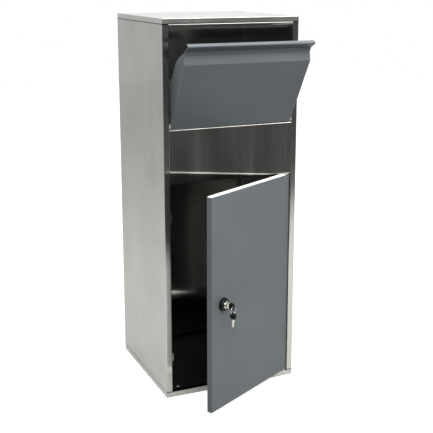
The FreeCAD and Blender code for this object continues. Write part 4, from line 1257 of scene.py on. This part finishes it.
@dataclass
class Key:
    """A flat key with a moulded bow."""

    prefix: str
    body: Body
    hanging: bool
    bow_mm: float = 18.0
    bow_half_mm: float = 2.2
    corner_mm: float = 5.0
    hole_mm: float = 2.5
    hole_inset_mm: float = 4.5
    blade_half_mm: float = 1.0
    blade_width_mm: float = 6.6
    tang_mm: float = 5.0
    cuts_mm: tuple[float, ...] = (1.2, 2.1, 0.8, 1.7, 1.1)
    # Where the bitting starts on the blade and how much of it it takes, as shares of its length.
    cuts_start: float = 0.16
    cuts_span: float = 0.62
    bevel_mm: float = 0.35
    groove_depth_mm: float = 0.4
    points: int = 72

    def axes(self) -> Axes:
        """Find the key's own axes.

        Returns:
            Axes from the middle of the bow's blade end, out to its far end.
        """
        lock = lock_axes()
        out, across = (lock.up, lock.out) if self.hanging else (lock.out, lock.up)
        node = f"{self.prefix}_bow"
        start, _ = reach(node, out)
        middle = sum(reach(node, across)) / 2
        side = sum(reach(node, lock.across)) / 2
        return Axes(out * start + across * middle + lock.across * side, out, across, lock.across)

    def build(self) -> None:
        """Mould the bow and cut the blade."""
        self.add_bow()
        self.add_blade()

    def outline(self, hole_out: float) -> Callable[[float], float]:
        """The bow's eight-sided outline as seen from the hole.

        Args:
            hole_out: from the middle of the bow to the hole's centre, in metres.

        Returns:
            The radius from the hole's centre for an angle; the angle starts across the key.
        """
        half = self.bow_mm / 2 * MM
        slant = (2 * half - self.corner_mm * MM) / math.sqrt(2)
        flats = [(math.radians(45 * turn), slant if turn % 2 else half) for turn in range(8)]

        def radius_at(angle: float) -> float:
            """Return the distance to the nearest flat at an angle, with its corners softened."""
            near = []
            for turn, distance in flats:
                facing = math.cos(angle - turn)
                if facing > 1e-6:
                    near.append((distance - hole_out * math.sin(turn)) / facing)
            sharp = sorted(near)[:2]
            gap = sharp[1] - sharp[0]
            soft = 0.9 * MM
            return sharp[0] - 0.25 * soft * max(0.0, 1 - gap / soft) ** 2

        return radius_at

    def add_bow(self) -> None:
        """Mould the bow: a raised rim, a sunken face and a collar round the hole."""
        axes = self.axes()
        middle = self.bow_mm / 2 * MM
        offset = middle - self.hole_inset_mm * MM
        radius_at = self.outline(offset)
        centre = axes.moved(out=middle + offset)
        half = self.bow_half_mm
        hole = self.hole_mm

        def ring(height: float, inset: float, from_hole: bool) -> list[Vector]:
            """Lay one ring of the bow.

            Args:
                height: from the middle of the bow's thickness, in millimetres.
                inset: into the bow from the hole or from the outline, in millimetres.
                from_hole: follow the hole, not the outline.

            Returns:
                The ring's points.
            """
            points = []
            for index in range(self.points):
                angle = 2 * math.pi * index / self.points
                edge = radius_at(angle)
                radius = (hole + inset) * MM if from_hole else edge - inset * MM
                points.append(
                    centre.at(radius * math.sin(angle), radius * math.cos(angle), height * MM)
                )
            return points

        upper = (
            (half - 0.5, 0.0, True), (half - 0.1, 0.15, True), (half, 0.4, True), (half, 0.8, True),
            (half - 0.45, 1.1, True), (half - 0.45, 2.1, False), (half, 1.7, False),
            (half, 0.9, False), (half - 0.2, 0.35, False), (half - 0.7, 0.05, False),
        )
        steps = upper + tuple((-height, inset, inner) for height, inset, inner in reversed(upper))
        shape = bmesh.new()
        add_loft(shape, [ring(*step) for step in steps], cap=False, loop=True)
        mesh = mesh_from(shape, f"{self.prefix}_bow_mesh")
        add_piece(mesh, f"{self.prefix}_bow_moulded", self.body, PLASTIC, (f"{self.prefix}_bow",))

    def add_blade(self) -> None:
        """Cut the blade: bevelled edges, a groove along each face and the notches of its bitting."""
        axes = self.axes()
        low, high = reach(f"{self.prefix}_blade", axes.out)
        start = low - axes.origin.dot(axes.out)
        length = -start
        half = self.blade_width_mm / 2
        thick = self.blade_half_mm
        bevel = self.bevel_mm
        groove = thick - self.groove_depth_mm
        stations: list[tuple[float, float]] = [(0.0, half - 2.4), (0.04, half - 1.2), (0.1, half)]
        pitch = self.cuts_span / len(self.cuts_mm)
        for index, cut in enumerate(self.cuts_mm):
            middle = self.cuts_start + pitch * (index + 0.5)
            stations += [(middle - pitch * 0.16, half - cut), (middle + pitch * 0.16, half - cut)]
            stations.append((middle + pitch * 0.5, half - cut * 0.25))
        stations += [(0.82, half), (1.0, half), (1.0 + self.tang_mm * MM / length, half)]
        rings = []
        for share, top in stations:
            out = start + share * length
            bottom = -half if share > 0.03 else -half + 1.6
            section = (
                (bottom, thick - bevel), (bottom + bevel, thick), (-0.9, thick), (-0.5, groove),
                (0.3, groove), (0.7, thick), (top - 0.3, thick), (top, thick - 0.3),
            )
            ring = [axes.at(out, up * MM, side * MM) for up, side in section]
            ring += [axes.at(out, up * MM, -side * MM) for up, side in reversed(section)]
            rings.append(ring)
        shape = bmesh.new()
        add_loft(shape, rings)
        mesh = mesh_from(shape, f"{self.prefix}_blade_mesh", 20.0)
        add_piece(mesh, f"{self.prefix}_blade_cut", self.body, NICKEL, (f"{self.prefix}_blade",))


@dataclass
class KeyRing:
    """A split ring of two turns of spring wire."""

    radius_mm: float = 9.0
    wire_mm: float = 0.37
    pitch_mm: float = 0.75
    turns: float = 2.05
    steps: int = 120

    def build(self) -> None:
        """Wind the ring."""
        lock = lock_axes()
        low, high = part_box("key_ring")
        centre = (low + high) / 2
        path = []
        for index in range(self.steps + 1):
            turn = self.turns * index / self.steps
            angle = 2 * math.pi * turn + math.pi / 3
            lift = (turn - self.turns / 2) * self.pitch_mm * MM
            radius = self.radius_mm * MM
            path.append(
                centre + lock.out * lift + lock.across * radius * math.cos(angle)
                + lock.up * radius * math.sin(angle)
            )
        mesh = grow(
            "key_ring_mesh",
            wire_tree(),
            mesh_of_paths("ring_path", [path]),
            {"Finish": NICKEL.material(), "Radius": self.wire_mm * MM},
        )
        add_piece(mesh, "key_ring_wound", Body.RING, NICKEL, ("key_ring",))


# ---------------------------------------------------------------- the studio

@dataclass
class Studio:
    """A pale paper floor, bright surroundings behind the box, soft boxes and the camera."""

    camera_place: tuple[float, float, float] = (-0.9695, -2.2911, 1.1233)
    camera_yaw_deg: float = 23.67
    camera_pitch_deg: float = 12.99
    lens_mm: float = 74.28
    camera_shift: float = -0.08
    key_power: float = 84.0
    side_power: float = 28.0
    top_power: float = 60.0
    rear_light: float = 0.9
    rear_strip_light: float = 1.7
    front_light: float = 0.13
    front_strip_light: float = 0.5
    # Where the surroundings change, as an axis of the direction and the ramp's two ends. They are
    # placed for what the steel mirrors from the shown angle.
    ramps: dict[str, tuple[str, float, float]] = field(
        default_factory=lambda: {
            "behind": ("Y", -0.15, 0.3),
            "strip_low": ("Z", 0.12, 0.17),
            "strip_high": ("Z", 0.42, 0.34),
            "strip_side": ("X", 0.0, 0.15),
            "horizon": ("Z", -0.02, 0.05),
        }
    )

    def build(self) -> None:
        """Set the floor, the lights, the surroundings and the camera."""
        self.add_floor()
        self.add_light("soft_box_front", (-0.45, -2.3, 2.45), (0.0, -0.2, 0.6), 1.4, self.key_power)
        self.add_light("soft_box_side", (1.3, -2.1, 2.4), (0.0, -0.2, 0.6), 1.0, self.side_power)
        self.add_light("soft_box_top", (0.3, -0.7, 2.6), (0.2, -0.5, 0.0), 1.8, self.top_power)
        self.add_surroundings()
        self.add_camera()
        bpy.context.scene.view_settings.view_transform = "Standard"

    @staticmethod
    def add_floor() -> None:
        """Lay the paper, whose front edge runs slantwise before the box."""
        corners = (
            (-5.0, -1.3), (0.0, -1.4), (0.5, -1.68), (1.0, -2.0), (5.0, -2.6), (5.0, 7.0), (-5.0, 7.0),
        )
        shape = bmesh.new()
        shape.faces.new([shape.verts.new((x, y, 0.0)) for x, y in corners])
        mesh = bpy.data.meshes.new("floor_mesh")
        shape.to_mesh(mesh)
        shape.free()
        mesh.materials.append(StudioPaper("Studio_paper_matt", "").material())
        floor = bpy.data.objects.new("floor", mesh)
        bpy.context.scene.collection.objects.link(floor)

    @staticmethod
    def add_light(
        name: str, place: Sequence[float], target: Sequence[float], size: float, power: float
    ) -> None:
        """Hang a square soft box.

        Args:
            name: the light's name.
            place: where it hangs.
            target: what it faces.
            size: its side in metres.
            power: its power in watts.
        """
        data = bpy.data.lights.new(name, "AREA")
        data.shape = "SQUARE"
        data.size = size
        data.energy = power
        light = bpy.data.objects.new(name, data)
        light.location = place
        facing = Vector(target) - Vector(place)
        light.rotation_euler = facing.to_track_quat("-Z", "Y").to_euler()
        bpy.context.scene.collection.objects.link(light)

    def add_surroundings(self) -> None:
        """Surround the box: bright behind it, dim in front of it, and plain white to the camera."""
        world = bpy.data.worlds.new("studio")
        bpy.context.scene.world = world
        world.use_nodes = True
        tree = world.node_tree
        tree.nodes.clear()
        direction = add_node(tree, "ShaderNodeTexCoord").outputs["Generated"]
        parts = add_node(tree, SEPARATE, {}, (direction,))
        smooth = {"interpolation_type": "SMOOTHSTEP"}
        share = {
            name: add_node(tree, MAP_RANGE, smooth, (parts.outputs[axis], start, end)).outputs[0]
            for name, (axis, start, end) in self.ramps.items()
        }
        strip = add_node(tree, MATH, PRODUCT, (share["strip_low"], share["strip_high"])).outputs[0]
        patch = add_node(tree, MATH, PRODUCT, (strip, share["strip_side"])).outputs[0]
        blend = {"data_type": "FLOAT"}
        above = {0: patch, 2: self.rear_light, 3: self.rear_strip_light}
        ahead = {0: share["horizon"], 2: self.front_light, 3: self.front_strip_light}
        levels = {
            0: share["behind"],
            2: add_node(tree, MIX, blend, ahead).outputs[0],
            3: add_node(tree, MIX, blend, above).outputs[0],
        }
        level = add_node(tree, MIX, blend, levels).outputs[0]
        lit = add_node(
            tree, "ShaderNodeBackground", {}, {"Color": linear("#fbfdff"), "Strength": level}
        )
        plain = add_node(
            tree, "ShaderNodeBackground", {}, {"Color": linear("#ffffff"), "Strength": 1.0}
        )
        seen = add_node(tree, "ShaderNodeLightPath").outputs["Is Camera Ray"]
        both = add_node(
            tree, "ShaderNodeMixShader", {}, {0: seen, 1: lit.outputs[0], 2: plain.outputs[0]}
        )
        add_node(tree, "ShaderNodeOutputWorld", {}, {"Surface": both.outputs[0]})

    def add_camera(self) -> None:
        """Stand the camera in front and to the left, looking slightly down."""
        data = bpy.data.cameras.new("camera")
        data.lens = self.lens_mm
        data.sensor_width = 36.0
        data.shift_y = self.camera_shift
        camera = bpy.data.objects.new("camera", data)
        camera.location = self.camera_place
        yaw = math.radians(self.camera_yaw_deg)
        pitch = math.radians(self.camera_pitch_deg)
        facing = Vector(
            (math.sin(yaw) * math.cos(pitch), math.cos(yaw) * math.cos(pitch), -math.sin(pitch))
        )
        camera.rotation_euler = facing.to_track_quat("-Z", "Y").to_euler()
        bpy.context.scene.collection.objects.link(camera)
        bpy.context.scene.camera = camera


def main() -> None:
    """Build the whole scene and report it."""
    logging.basicConfig(level=logging.INFO, format="%(name)s: %(message)s")
    Studio().build()
    Cabinet().build()
    Flap().build()
    Door().build()
    LockCylinder().build()
    Key("key", Body.KEY, hanging=False).build()
    Key("spare_key", Body.SPARE_KEY, hanging=True).build()
    KeyRing().build()
    LOG.info("the box is complete")


if __name__ == "__main__":
    main()
